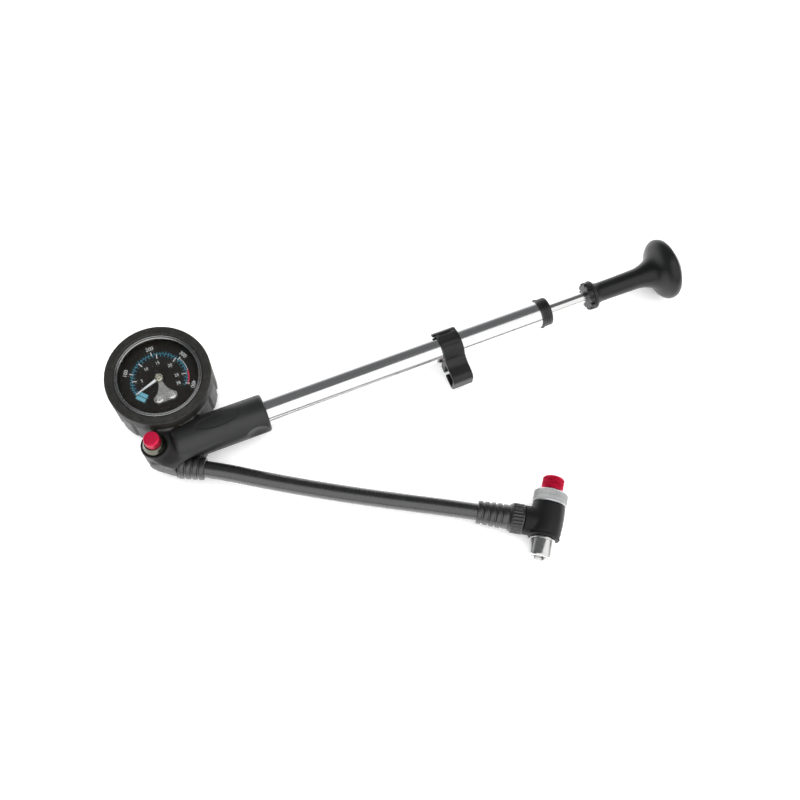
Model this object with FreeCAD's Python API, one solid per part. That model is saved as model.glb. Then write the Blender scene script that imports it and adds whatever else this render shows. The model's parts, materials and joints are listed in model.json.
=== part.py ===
"""High-pressure shock suspension pump with a dial gauge, hose and valve chuck.

Frame, in millimetres: the origin is on the gauge's axis at its back face, where the pump
rests on a table. +Z points out of the gauge's face, and +X runs along the barrel to the knob.
"""
import FreeCAD, Part
import math
import os

from FreeCAD import Vector

# ---- driving dimensions ----
# gauge
BOOT_R = 25.2
BOOT_WALL_R = 24.4
GAUGE_HEIGHT = 30.3
NOTCH_COUNT = 15
NOTCH_START = -6.0
DIAL_TOP = 25.2
PINION_TEETH = 10
SECTOR_TEETH = 60
GEAR_MODULE = 0.35
# barrel and rod
AXIS_Y = -31.0
AXIS_Z = 16.0
BARREL_R = 6.6
BORE_R = 5.2
ROD_R = 2.9
BARREL_START = 24.8
BARREL_END = 190.0
PISTON_START = 48.0
HANDLE_START = 213.5
# head
SOCKET_R = 9.4
SOCKET_END = 42.0
BUTTON_X = -12.4
BUTTON_Y = -29.2
COLUMN_R = 6.7
HEAD_TOP = 20.7
BUTTON_R = 3.8
COLLAR_R = 5.5
BUTTON_TOP = 30.0
# handle
FLANGE_R = 7.2
NECK_R = 5.0
KNOB_R = 16.0
RIM_BULGE = 1.7
# hose and its ends
HOSE_R = 4.1
OUTLET = Vector(-5.0, -40.2, 12.0)
OUTLET_YAW = -29.0
CHUCK = Vector(146.1, -130.2, 8.3)
BRANCH_YAW = -31.5
BRANCH_OFFSET = 0.8
NOZZLE_YAW = -125.2
HOSE_INSET = 2.0
CHUCK_HOSE_END = 21.5
FIRST_RUN = 17.5
LAST_RUN = 16.0
# clip
CLIP_START = 132.6
CLIP_WIDTH = 10.6
POCKET_LOW = Vector(0, -48.8, 6.4)
POCKET_HIGH = Vector(0, -39.3, 15.0)
CLIP_WALL = 1.45
# clearances
RUN_FIT = 0.08
GAP = 0.2
# how far a quarter circle's middle stands from its chord, over its radius
QUARTER = 1 - math.cos(math.radians(45))

X_AXIS = Vector(1, 0, 0)
Y_AXIS = Vector(0, 1, 0)
Z_AXIS = Vector(0, 0, 1)
ORIGIN = Vector(0, 0, 0)
BARREL = Vector(0, AXIS_Y, AXIS_Z)


def yaw(degrees):
    """Level unit vector at an angle from +X."""
    return Vector(math.cos(math.radians(degrees)), math.sin(math.radians(degrees)), 0)


OUTLET_DIR = yaw(OUTLET_YAW)
BRANCH_DIR = yaw(BRANCH_YAW)
KNOB_DIR = yaw(NOZZLE_YAW) * -1.0
BRANCH = CHUCK + KNOB_DIR * BRANCH_OFFSET
HOSE_START = OUTLET + OUTLET_DIR * HOSE_INSET
HOSE_END = BRANCH - BRANCH_DIR * CHUCK_HOSE_END
HOSE_ROUTE = [
    HOSE_START,
    HOSE_START + OUTLET_DIR * FIRST_RUN,
    Vector(31.5, -62.4, 11.0),
    Vector(59.0, -79.1, 9.9),
    Vector(87.0, -94.9, 9.1),
    HOSE_END - BRANCH_DIR * LAST_RUN,
    HOSE_END,
]


# ---- shape helpers ----
def rod_between(radius, start, end, centre=ORIGIN, along=X_AXIS):
    """Cylinder on an axis through centre, from start to end along it."""
    return Part.makeCylinder(radius, end - start, centre + along * start, along)


def ring(outer, inner, start, end, centre=ORIGIN, along=X_AXIS):
    """Plain ring on an axis through centre."""
    body = rod_between(outer, start, end, centre, along)
    return body.cut(rod_between(inner, start - 1, end + 1, centre, along))


def turned(profile, centre=ORIGIN, along=X_AXIS):
    """Solid of revolution from (place along the axis, radius) points.

    A point may be a triple (place, radius, bulge): the edge that reaches it is an arc whose
    middle stands that far to the left of its chord.
    """
    points = [Vector(p[0], p[1], 0) for p in profile]
    edges = []
    for i, start in enumerate(points):
        end = points[(i + 1) % len(points)]
        target = profile[(i + 1) % len(profile)]
        if len(target) == 3:
            chord = end - start
            left = Vector(-chord.y, chord.x, 0).normalize()
            middle = (start + end) * 0.5 + left * target[2]
            edges.append(Part.Arc(start, middle, end).toShape())
        else:
            edges.append(Part.makeLine(start, end))
    face = Part.Face(Part.Wire(edges))
    solid = face.revolve(ORIGIN, X_AXIS, 360)
    solid.Placement = FreeCAD.Placement(centre, FreeCAD.Rotation(X_AXIS, along))
    return Part.Solid(solid) if solid.ShapeType == "Shell" else solid


def drill(start, end, radius):
    """Straight passage between two points."""
    return Part.makeCylinder(radius, (end - start).Length, start, end - start)


def box_between(low, high):
    """Box from its lowest to its highest corner."""
    size = Vector(*high) - Vector(*low)
    return Part.makeBox(size.x, size.y, size.z, Vector(*low))


def polar(radius, degrees, z=0.0):
    """Point at a radius and an angle about the gauge's axis."""
    return Vector(radius * math.cos(math.radians(degrees)), radius * math.sin(math.radians(degrees)), z)


def fuse_all(shapes):
    """One solid from several that overlap."""
    return shapes[0].multiFuse(shapes[1:]).removeSplitter()


def hull_face(circles, z):
    """Face inside the taut outline round circles (x, y, radius), listed anticlockwise."""
    normals = []
    for (x1, y1, r1), (x2, y2, r2) in zip(circles, circles[1:] + circles[:1]):
        heading = math.atan2(y2 - y1, x2 - x1)
        spread = math.acos((r1 - r2) / math.hypot(x2 - x1, y2 - y1))
        normals.append(heading - spread)
    edges = []
    for i, (x, y, r) in enumerate(circles):
        first, last = normals[i - 1], normals[i]
        while last < first:
            last += 2 * math.pi
        start, middle, end = [
            Vector(x + r * math.cos(a), y + r * math.sin(a), z) for a in (first, (first + last) / 2, last)
        ]
        if edges:
            edges.append(Part.makeLine(edges[-1].Vertexes[-1].Point, start))
        edges.append(Part.Arc(start, middle, end).toShape())
    edges.append(Part.makeLine(edges[-1].Vertexes[-1].Point, edges[0].Vertexes[0].Point))
    return Part.Face(Part.Wire(edges))


def edges_at(shape, z):
    """Edges that lie wholly in one level plane."""
    return [e for e in shape.Edges if abs(e.BoundBox.ZMin - z) < 1e-4 and abs(e.BoundBox.ZMax - z) < 1e-4]


def gear(teeth, z_low, z_high, first_tooth):
    """Flat gear about the origin with straight-sided teeth and some backlash."""
    pitch_r = GEAR_MODULE * teeth / 2
    root_r = pitch_r - 1.15 * GEAR_MODULE
    tip_r = pitch_r + 0.8 * GEAR_MODULE
    half_root = math.degrees(0.85 * GEAR_MODULE / root_r)
    half_tip = math.degrees(0.28 * GEAR_MODULE / tip_r)
    points = []
    for k in range(teeth):
        centre = first_tooth + 360.0 * k / teeth
        points += [polar(root_r, centre - half_root, z_low), polar(tip_r, centre - half_tip, z_low)]
        points += [polar(tip_r, centre + half_tip, z_low), polar(root_r, centre + half_root, z_low)]
    face = Part.Face(Part.makePolygon(points + points[:1]))
    return face.extrude(Vector(0, 0, z_high - z_low))


# ---- gauge ----
CASE_R = 22.6
CASE_BACK = 2.2
LENS_LOW = 28.0
LENS_HIGH = 29.1
SECTOR_PIVOT = Vector(0, GEAR_MODULE * (PINION_TEETH + SECTOR_TEETH) / 2, 0)
PLATE_HOLES = [Vector(-3.1, -10.0, 0), Vector(3.1, -10.0, 0)]
PLATE_SCREW_R = 1.9
POINTER_REST = 199.0
POINTER_LOW = DIAL_TOP + 1.1
POINTER_LENGTH = 13.4


def gauge_boot():
    """Rubber boot with a front ring, grip panels round its wall and a rounded back."""
    back, front = 4.2, 1.6
    profile = [
        (0, 0), (0, BOOT_WALL_R - back), (back, BOOT_WALL_R, back * QUARTER), (23.2, BOOT_WALL_R),
        (23.8, BOOT_R), (GAUGE_HEIGHT - front, BOOT_R), (GAUGE_HEIGHT, BOOT_R - front, front * QUARTER),
        (GAUGE_HEIGHT, 21.9), (LENS_HIGH + 0.5, 20.9), (LENS_HIGH + 0.5, CASE_R),
        (CASE_BACK, CASE_R), (CASE_BACK, 0),
    ]
    boot = turned(profile, ORIGIN, Z_AXIS)
    grip = turned([(4.4, 23.0), (5.2, BOOT_R), (21.0, BOOT_R), (22.0, 23.0)], ORIGIN, Z_AXIS)
    boot = boot.fuse(grip)
    notches = []
    for k in range(NOTCH_COUNT):
        notch = box_between((BOOT_WALL_R - 0.4, -1.0, 3.6), (BOOT_R + 2, 1.0, 22.6))
        notch.rotate(ORIGIN, Z_AXIS, NOTCH_START + 360.0 * k / NOTCH_COUNT)
        notches.append(notch)
    boot = boot.cut(Part.makeCompound(notches))
    stem_hole = Part.makeCylinder(5.0, 8, Vector(0, -20, AXIS_Z), -Y_AXIS)
    return boot.cut(stem_hole)


def gauge_case():
    """Metal cup that holds the movement."""
    profile = [
        (CASE_BACK, 0), (CASE_BACK, CASE_R), (LENS_HIGH + 0.5, CASE_R), (LENS_HIGH + 0.5, 21.5),
        (CASE_BACK + 1.0, 21.5), (CASE_BACK + 1.0, 0),
    ]
    cup = turned(profile, ORIGIN, Z_AXIS)
    return cup.cut(Part.makeCylinder(4.6, 8, Vector(0, -18, AXIS_Z), -Y_AXIS))


def bezel_ring():
    """Bright ring that holds the lens down, with a groove round its top."""
    profile = [
        (LENS_HIGH, 21.5), (LENS_HIGH + 0.5, 21.5), (LENS_HIGH + 0.5, 20.8), (LENS_HIGH + 0.9, 20.6),
        (LENS_HIGH + 0.9, 20.2), (LENS_HIGH + 0.5, 20.0), (LENS_HIGH + 0.8, 19.7),
        (LENS_HIGH + 0.7, 19.2), (LENS_HIGH, 19.0),
    ]
    return turned(profile, ORIGIN, Z_AXIS)


def movement_plate():
    """Fan-shaped plate on the dial, from the hub down to its two screws."""
    z = DIAL_TOP
    points = {
        "neck": Vector(1.1, -1.6, z), "waist": Vector(2.1, -5.4, z), "corner": Vector(5.4, -9.0, z),
        "bulge": Vector(5.2, -11.2, z), "foot": Vector(3.3, PLATE_HOLES[0].y - 2.1, z),
    }
    other = {name: Vector(-point.x, point.y, point.z) for name, point in points.items()}
    edges = [
        Part.Arc(other["neck"], Vector(0, 1.8, z), points["neck"]).toShape(),
        Part.Arc(points["neck"], points["waist"], points["corner"]).toShape(),
        Part.Arc(points["corner"], points["bulge"], points["foot"]).toShape(),
        Part.makeLine(points["foot"], other["foot"]),
        Part.Arc(other["foot"], other["bulge"], other["corner"]).toShape(),
        Part.Arc(other["corner"], other["waist"], other["neck"]).toShape(),
    ]
    plate = Part.Face(Part.Wire(edges)).extrude(Vector(0, 0, 0.35))
    for hole in PLATE_HOLES:
        plate = plate.cut(rod_between(0.8, z - 1, z + 1, hole, Z_AXIS))
    return plate.cut(rod_between(1.0, z - 1, z + 1, ORIGIN, Z_AXIS))


def dial_plate():
    """Printed disc under the pointer."""
    disc = rod_between(21.3, DIAL_TOP - 0.6, DIAL_TOP, ORIGIN, Z_AXIS)
    for hole in PLATE_HOLES:
        disc = disc.cut(rod_between(0.8, DIAL_TOP - 1, DIAL_TOP + 1, hole, Z_AXIS))
    return disc.cut(rod_between(1.0, DIAL_TOP - 1, DIAL_TOP + 1, ORIGIN, Z_AXIS))


def plate_screws():
    """Two slotted screws through the movement plate and the dial into the posts."""
    screws = []
    for hole in PLATE_HOLES:
        low = DIAL_TOP + 0.35
        head = turned([(low, 0), (low, PLATE_SCREW_R), (low + 0.15, PLATE_SCREW_R),
                       (low + 0.4, PLATE_SCREW_R - 0.5), (low + 0.4, 0)], hole, Z_AXIS)
        shank = rod_between(0.8, DIAL_TOP - 3.0, low + 0.1, hole, Z_AXIS)
        slot = box_between((-2, -0.22, low + 0.2), (2, 0.22, low + 1))
        slot.rotate(ORIGIN, Z_AXIS, 35)
        slot.translate(hole)
        screws.append(head.fuse(shank).cut(slot).removeSplitter())
    return Part.makeCompound(screws)


def movement_base():
    """Base plate on the stem block, with two posts that carry the dial."""
    low, high = 19.0, 20.0
    plate = hull_face([(0, SECTOR_PIVOT.y, 3.0), (-5.5, -13, 2.5), (5.5, -13, 2.5)], low)
    base = plate.extrude(Vector(0, 0, high - low))
    for hole in PLATE_HOLES:
        base = base.fuse(rod_between(1.5, high - 0.2, DIAL_TOP - 0.6, hole, Z_AXIS))
        base = base.cut(rod_between(0.8, DIAL_TOP - 3.0, DIAL_TOP, hole, Z_AXIS))
    base = base.cut(rod_between(0.8 + RUN_FIT, low - 1, high + 1, ORIGIN, Z_AXIS))
    return base.cut(rod_between(0.8 + RUN_FIT, low - 1, high + 1, SECTOR_PIVOT, Z_AXIS)).removeSplitter()


def pointer_shaft():
    """Pinion and the thin shaft that carries the pointer."""
    pinion = gear(PINION_TEETH, 21.0, 22.0, 90.0 + 180.0 / PINION_TEETH)
    shaft = rod_between(0.8, 18.6, POINTER_LOW + 0.5, ORIGIN, Z_AXIS)
    return pinion.fuse(shaft).removeSplitter()


def sector_gear():
    """Toothed sector that the Bourdon tube's tip swings to turn the pinion."""
    full = gear(SECTOR_TEETH, 21.0, 22.0, -90.0)
    wedge = Part.makeCylinder(12.5, 1.0, Vector(0, 0, 21.0), Z_AXIS, 68)
    wedge.rotate(ORIGIN, Z_AXIS, -145)
    hub = rod_between(2.4, 21.0, 22.0, ORIGIN, Z_AXIS)
    pin = rod_between(0.8, 18.6, 22.6, ORIGIN, Z_AXIS)
    sector = fuse_all([full.common(wedge), hub, pin])
    window = ring(8.0, 4.2, 20, 23, ORIGIN, Z_AXIS)
    opening = Part.makeCylinder(12.5, 3, Vector(0, 0, 20), Z_AXIS, 44)
    opening.rotate(ORIGIN, Z_AXIS, -133)
    sector = sector.cut(window.common(opening))
    sector.translate(SECTOR_PIVOT)
    return sector


def pointer():
    """Tapered pointer with a round hub, at rest on the zero mark."""
    z = POINTER_LOW
    outline = [polar(1.3, POINTER_REST + 90, z), polar(POINTER_LENGTH, POINTER_REST + 1.0, z)]
    outline += [polar(POINTER_LENGTH, POINTER_REST - 1.0, z), polar(1.3, POINTER_REST - 90, z)]
    blade = Part.Face(Part.makePolygon(outline + outline[:1])).extrude(Vector(0, 0, 0.3))
    hub_r = 1.9
    top = z + 1.3
    profile = [
        (z - 0.3, 0), (z - 0.3, hub_r), (top - 0.5, hub_r), (top - 0.1, hub_r - 0.4), (top, 1.1), (top, 0),
    ]
    hub = turned(profile, ORIGIN, Z_AXIS)
    needle = blade.fuse(hub).removeSplitter()
    return needle.cut(rod_between(0.8, z - 1, z + 0.5, ORIGIN, Z_AXIS))


TUBE_RADIUS = 15.5
BLOCK_TOP = 19.0


def gauge_stem():
    """Brass stem from the head up into the case, with the block that feeds the tube."""
    stem = Part.makeCylinder(4.5, 13.0, Vector(0, -29.0, AXIS_Z), Y_AXIS)
    block = box_between((-5, -19.5, 11.0), (5, -13.5, BLOCK_TOP))
    passage = Part.makeCylinder(0.8, 13.0, Vector(0, -29.5, AXIS_Z), Y_AXIS)
    return stem.fuse(block).cut(passage).removeSplitter()


def bourdon_tube():
    """Curved tube that straightens under pressure and swings the sector."""
    start = math.degrees(math.asin(5.0 / TUBE_RADIUS)) - 90
    tube = Part.makeTorus(TUBE_RADIUS, 1.4, Vector(0, 0, 14.0), Z_AXIS, 0, 360, 250)
    tube.rotate(ORIGIN, Z_AXIS, start + 6)
    return tube


# ---- head ----
VALVE_START = 18.0
CHAMBER_START = 15.5
PASSAGE_Z = 10.2
CHAMBER_TOP = 12.4


def head_body():
    """Moulded head: button column, barrel socket and hose outlet in one piece."""
    start, heel, edge = -4.0, 3.0, 1.4
    socket = turned([
        (start, 0), (start, SOCKET_R - heel), (start + heel, SOCKET_R, heel * QUARTER),
        (SOCKET_END - edge, SOCKET_R), (SOCKET_END, SOCKET_R - edge, edge * QUARTER), (SOCKET_END, 0),
    ], BARREL)
    column = rod_between(COLUMN_R, 5.0, HEAD_TOP, Vector(BUTTON_X, BUTTON_Y, 0), Z_AXIS)
    column = column.makeFillet(1.6, edges_at(column, 5.0))
    outline = [
        (BUTTON_X, BUTTON_Y, COLUMN_R - 0.2), (OUTLET.x - 2.2, OUTLET.y + 2.6, 5.6),
        (5.5, -35.4, 4.6), (3.0, -27.0, 3.0),
    ]
    web = hull_face(outline, 6.0).extrude(Vector(0, 0, HEAD_TOP - 6.3))
    web = web.makeFillet(2.0, edges_at(web, 6.0) + edges_at(web, HEAD_TOP - 0.3))
    back = OUTLET - OUTLET_DIR * 8.0
    outlet_r = 6.2
    profile = [(-outlet_r, 0), (0, outlet_r, outlet_r * QUARTER), (8.0, outlet_r), (8.0, 0)]
    outlet = turned(profile, back, OUTLET_DIR)
    head = fuse_all([socket, column, web, outlet])
    head = head.cut(rod_between(BOOT_R + GAP, -1, GAUGE_HEIGHT + 1, ORIGIN, Z_AXIS))
    head = head.cut(rod_between(6.5, 0, 30, OUTLET, OUTLET_DIR))
    return cut_scallop(head).cut(Part.makeCompound(head_bores())).removeSplitter()


def cut_scallop(head):
    """Shallow thumb scallop low on the socket's side near its end."""
    radius, depth, turn = 12.0, 1.3, math.radians(78)
    away = SOCKET_R + radius - depth
    centre = Vector(SOCKET_END - 7.0, AXIS_Y - away * math.sin(turn), AXIS_Z + away * math.cos(turn))
    return head.cut(Part.makeSphere(radius, centre))


def head_bores():
    """Sockets, seats and air passages inside the head."""
    button = Vector(BUTTON_X, BUTTON_Y, 0)
    hub = button + Vector(0, 0, PASSAGE_Z)
    drop = Vector(CHAMBER_START + 1.0, AXIS_Y, AXIS_Z)
    return [
        rod_between(BARREL_R + 0.02, BARREL_START - 1.2, SOCKET_END + 1, BARREL),
        rod_between(BORE_R, VALVE_START, BARREL_START, BARREL),
        rod_between(3.0, CHAMBER_START, VALVE_START, BARREL),
        rod_between(COLLAR_R + 0.4, HEAD_TOP - 0.7, HEAD_TOP + 2, button, Z_AXIS),
        rod_between(BUTTON_R + 0.2, 14.4, HEAD_TOP + 1, button, Z_AXIS),
        rod_between(1.1, CHAMBER_TOP, 15.0, button, Z_AXIS),
        rod_between(2.2, 8.0, CHAMBER_TOP, button, Z_AXIS),
        rod_between(2.8, 4.0, 8.0, button, Z_AXIS),
        drill(drop, Vector(drop.x, AXIS_Y, PASSAGE_Z - 1.0), 1.0),
        drill(Vector(drop.x, AXIS_Y, PASSAGE_Z), hub, 1.0),
        drill(hub, OUTLET - OUTLET_DIR * 5.0, 1.0),
        drill(Vector(0, AXIS_Y, PASSAGE_Z), Vector(0, -28.5, AXIS_Z), 1.0),
        Part.makeCylinder(4.5, 8, Vector(0, -29.0, AXIS_Z), Y_AXIS),
        Part.makeCylinder(5.8, 1.0, Vector(0, -27.2, AXIS_Z), Y_AXIS),
        rod_between(3.0, -6.0, 1.0, OUTLET, OUTLET_DIR),
    ]


def button_collar():
    """Polished domed collar round the button."""
    low = HEAD_TOP - 0.7
    inner = BUTTON_R + 0.2
    profile = [
        (low, inner), (low, COLLAR_R), (low + 1.4, COLLAR_R), (low + 4.6, inner + 0.5, 0.45),
        (low + 4.9, inner),
    ]
    return turned(profile, Vector(BUTTON_X, BUTTON_Y, 0), Z_AXIS)


def bleed_button():
    """Anodised push button with a crowned top."""
    profile = [
        (21.2, 0), (21.2, BUTTON_R), (BUTTON_TOP - 1.2, BUTTON_R), (BUTTON_TOP - 0.3, BUTTON_R - 1.0, 0.22),
        (BUTTON_TOP, 0),
    ]
    button = turned(profile, Vector(BUTTON_X, BUTTON_Y, 0), Z_AXIS)
    return button.cut(rod_between(1.0, 20, 24.0, Vector(BUTTON_X, BUTTON_Y, 0), Z_AXIS))


def bleed_spring():
    """Coil spring under the button."""
    helix = Part.makeHelix(1.25, 5.9, 3.0)
    helix.translate(Vector(BUTTON_X, BUTTON_Y, 14.8))
    start = helix.Edges[0].valueAt(helix.Edges[0].FirstParameter)
    heading = helix.Edges[0].tangentAt(helix.Edges[0].FirstParameter)
    section = Part.Wire(Part.makeCircle(0.35, start, heading))
    pipe = Part.Wire(helix.Edges).makePipeShell([section], True, True)
    return Part.Solid(pipe) if pipe.ShapeType == "Shell" else pipe


# ---- barrel, rod and handle ----
def barrel_cap():
    """Threaded cap on the barrel's open end, with grooves round it and a thin front lip."""
    start = BARREL_END - 3.3
    end = BARREL_END + 2.1
    profile = [
        (start, BARREL_R), (start, 7.6), (start + 0.6, 7.6), (start + 0.6, 7.15), (start + 1.6, 7.15),
        (start + 1.8, 6.95), (start + 2.0, 7.15), (start + 2.9, 7.15), (start + 3.1, 6.95),
        (start + 3.3, 7.15), (end - 0.7, 7.15), (end, 6.45, 0.7 * QUARTER), (end, ROD_R + 0.25),
        (end - 0.9, ROD_R + 0.25), (end - 0.9, 4.0), (BARREL_END, 4.0), (BARREL_END, BARREL_R),
    ]
    return turned(profile, BARREL)


def across_clip(low, high):
    """Box through the clip's whole width, from (y, z) to (y, z)."""
    return box_between((CLIP_START - 1, *low), (CLIP_START + CLIP_WIDTH + 1, *high))


def hose_clip():
    """Strap round the barrel that dips into a pocket for the stowed hose."""
    x_low, x_high = CLIP_START, CLIP_START + CLIP_WIDTH
    inner_r, outer_r = BARREL_R + 0.03, BARREL_R + 1.5
    wall = CLIP_WALL
    band = ring(outer_r, inner_r, x_low, x_high, BARREL)
    pocket = box_between((x_low, POCKET_LOW.y - wall, POCKET_LOW.z - wall),
                         (x_high, AXIS_Y - 4.5, POCKET_HIGH.z + wall))
    lengthwise = [e for e in pocket.Edges if e.BoundBox.XLength > CLIP_WIDTH - 0.1]
    pocket = pocket.makeFillet(3.4, [e for e in lengthwise if e.BoundBox.YMax < POCKET_LOW.y])
    top = POCKET_HIGH.z + wall
    saddle_start, saddle_end = Vector(x_low, -37.2, 21.1), Vector(x_low, -43.4, top)
    saddle = Part.Face(Part.Wire([
        Part.Arc(saddle_start, Vector(x_low, -39.5, 17.9), saddle_end).toShape(),
        Part.makeLine(saddle_end, Vector(x_low, -37.2, top - 1)),
        Part.makeLine(Vector(x_low, -37.2, top - 1), saddle_start),
    ])).extrude(Vector(CLIP_WIDTH, 0, 0))
    opening = across_clip((POCKET_LOW.y, POCKET_LOW.z), (POCKET_HIGH.y, POCKET_HIGH.z))
    opening = opening.makeFillet(2.0, [e for e in opening.Edges if e.BoundBox.XLength > CLIP_WIDTH])
    bore = rod_between(inner_r, x_low - 1, x_high + 1, BARREL)
    clip = pocket.fuse(saddle).cut(opening).cut(bore).fuse(band)
    snap_slot = across_clip((POCKET_HIGH.y - 1.9, POCKET_LOW.z - 3), (POCKET_HIGH.y - 0.3, POCKET_LOW.z + 1))
    back_gap = across_clip((AXIS_Y - 1.5, 4.0), (AXIS_Y + 4.5, 12.0))
    lip = box_between((x_low - 1.6, -25.2, AXIS_Z + 3.2), (x_high, -22.6, AXIS_Z + 6.6))
    lip = lip.common(ring(outer_r + 0.5, inner_r + 0.2, x_low - 2, x_high, BARREL))
    return fuse_all([clip.cut(snap_slot).cut(back_gap), lip])


def piston():
    """Brass piston with grooves for its cup and its ring."""
    s = PISTON_START
    profile = [
        (s, 1.5), (s, 5.0), (s + 2, 5.0), (s + 2, 3.6), (s + 5.5, 3.6), (s + 5.5, 5.0), (s + 6.5, 5.0),
        (s + 6.5, 4.0), (s + 8, 4.0), (s + 8, 5.0), (s + 10, 5.0), (s + 10, 1.5),
    ]
    return turned(profile, BARREL)


def piston_cup():
    """Lipped cup seal that lets air past on the way out and holds it on the way in."""
    s = PISTON_START + 2
    profile = [(s, 3.6), (s, 5.14), (s + 0.6, 5.14), (s + 2.6, 4.9), (s + 3.5, 4.9), (s + 3.5, 3.6)]
    return turned(profile, BARREL)


def rod():
    """Polished rod with a tapped hole in each end."""
    start, end = PISTON_START + 10, HANDLE_START + 24.5
    bar = rod_between(ROD_R, start, end, BARREL)
    bar = bar.cut(rod_between(1.5, start - 1, start + 6, BARREL))
    return bar.cut(rod_between(1.6, end - 8, end + 1, BARREL))


def piston_screw():
    """Screw that holds the piston on the rod."""
    s = PISTON_START
    head = rod_between(2.2, s - 1.4, s, BARREL)
    return head.fuse(rod_between(1.5, s - 0.1, s + 16, BARREL)).removeSplitter()


def handle_collar():
    """Castellated ring at the front of the handle."""
    s = HANDLE_START
    profile = [
        (s, ROD_R + 0.05), (s, FLANGE_R - 0.5), (s + 0.5, FLANGE_R), (s + 1.7, FLANGE_R),
        (s + 2.0, FLANGE_R - 0.5), (s + 2.5, FLANGE_R - 0.5), (s + 2.9, FLANGE_R + 0.1),
        (s + 4.0, FLANGE_R + 0.1),
        (s + 4.6, FLANGE_R - 0.8), (s + 4.6, ROD_R + 0.05),
    ]
    collar = turned(profile, BARREL)
    slots = []
    for k in range(12):
        slot = box_between((s - 1, -0.8, FLANGE_R - 1.3), (s + 1.9, 0.8, FLANGE_R + 1))
        slot.rotate(ORIGIN, X_AXIS, 30.0 * k)
        slot.translate(BARREL)
        slots.append(slot)
    return collar.cut(Part.makeCompound(slots))


def handle_shape():
    """Whole outer form of the handle: neck, flare and domed palm knob."""
    s = HANDLE_START + 4.6
    rim = KNOB_R - RIM_BULGE
    profile = [
        (s, 0), (s, 5.9), (s + 2.6, NECK_R, -0.3), (s + 28.0, NECK_R + 0.3), (s + 36.0, 12.2, -2.4),
        (s + 38.0, rim, 0.25), (s + 41.0, rim, RIM_BULGE), (s + 46.2, 0, 2.2),
    ]
    return turned(profile, BARREL)


def handle():
    """Handle with its bores for the rod and the screw."""
    s = HANDLE_START + 4.6
    body = handle_shape()
    body = body.cut(rod_between(ROD_R, s - 1, HANDLE_START + 24.5, BARREL))
    body = body.cut(rod_between(1.7, s, s + 40, BARREL))
    body = body.cut(rod_between(3.2, s + 37.0, s + 42.0, BARREL))
    return body.cut(rod_between(4.2, s + 42.0, s + 50, BARREL))


def handle_plug():
    """Push-in cover over the handle screw, with a crowned face."""
    s = HANDLE_START + 46.6
    return turned([(s, 0), (s, 4.15), (s + 3.3, 4.15), (s + 3.6, 3.6), (s + 3.6, 0)], BARREL)


def handle_screw():
    """Screw from the knob into the rod."""
    s = HANDLE_START + 4.6
    head = rod_between(3.0, s + 37.0, s + 39.6, BARREL)
    shank = rod_between(1.6, HANDLE_START + 17.5, s + 37.1, BARREL)
    return head.fuse(shank).cut(rod_between(1.4, s + 38.4, s + 40, BARREL)).removeSplitter()


# ---- hose and fittings ----
def tube_path(route):
    """Straight runs joined by tangent arcs; returns the wire and the arc radii."""
    edges = []
    radii = []
    last = route[0]
    for before, corner, after in zip(route, route[1:], route[2:]):
        back = (before - corner)
        ahead = (after - corner)
        reach = 0.45 * min(back.Length, ahead.Length)
        back.normalize()
        ahead.normalize()
        half_turn = (math.pi - back.getAngle(ahead)) / 2
        radius = reach / math.tan(half_turn)
        bisector = (back + ahead).normalize()
        middle = corner + bisector * (radius / math.cos(half_turn) - radius)
        edges.append(Part.LineSegment(last, corner + back * reach).toShape())
        edges.append(Part.Arc(corner + back * reach, middle, corner + ahead * reach).toShape())
        last = corner + ahead * reach
        radii.append(radius)
    edges.append(Part.LineSegment(last, route[-1]).toShape())
    return Part.Wire(edges), radii


def hose():
    """High-pressure hose from the head's nipple to the chuck's nipple."""
    path, radii = tube_path(HOSE_ROUTE)
    section = Part.Wire(Part.makeCircle(HOSE_R, HOSE_ROUTE[0], HOSE_ROUTE[1] - HOSE_ROUTE[0]))
    tube = path.makePipeShell([section], True, False)
    tube = Part.Solid(tube) if tube.ShapeType == "Shell" else tube
    print("hose length", round(path.Length, 1), "radii", [round(r, 1) for r in radii])
    straight = math.pi * HOSE_R**2 * path.Length
    print("hose volume over section times length", round(tube.Volume / straight, 4))
    return tube


def ribbed(length, start_r, end_r, ribs, rib_height):
    """Profile of a tapering sleeve with raised ribs, from the thin end to the thick end."""
    points = [(0, start_r - 0.3)]
    pitch = length / ribs
    for k in range(ribs):
        base = start_r + (end_r - start_r) * k / ribs
        s = k * pitch
        points += [(s + 0.3, base + rib_height), (s + pitch - 1.0, base + rib_height + 0.1)]
        points += [(s + pitch - 0.7, base - 0.1), (s + pitch - 0.1, base - 0.1)]
    return points


def head_boot():
    """Ribbed rubber sleeve over the hose at the head, thick end on the head."""
    length = 12.4
    outer = ribbed(length, 5.2, 6.0, 4, 0.35)
    profile = [(0, HOSE_R + 0.05)] + outer + [(length, 6.0), (length, HOSE_R + 0.05)]
    return turned(profile, OUTLET + OUTLET_DIR * length, -OUTLET_DIR)


def chuck_boot():
    """Ribbed rubber sleeve over the hose at the chuck, smooth next to the nut."""
    length = 12.2
    outer = ribbed(length, 5.3, 5.8, 4, 0.4)
    profile = [(0, HOSE_R + 0.05)] + outer
    profile += [(length, 5.9), (length + 3.0, 5.9), (length + 3.0, HOSE_R + 0.05)]
    return turned(profile, BRANCH - BRANCH_DIR * 33.0, BRANCH_DIR)


def head_nipple():
    """Brass nipple screwed into the head, with a barb shoulder the hose butts against."""
    profile = [(-5.0, 0.8), (-5.0, 3.0), (0, 3.0), (0, HOSE_R), (HOSE_INSET, HOSE_R), (HOSE_INSET, 0.8)]
    return turned(profile, OUTLET, OUTLET_DIR)


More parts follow.
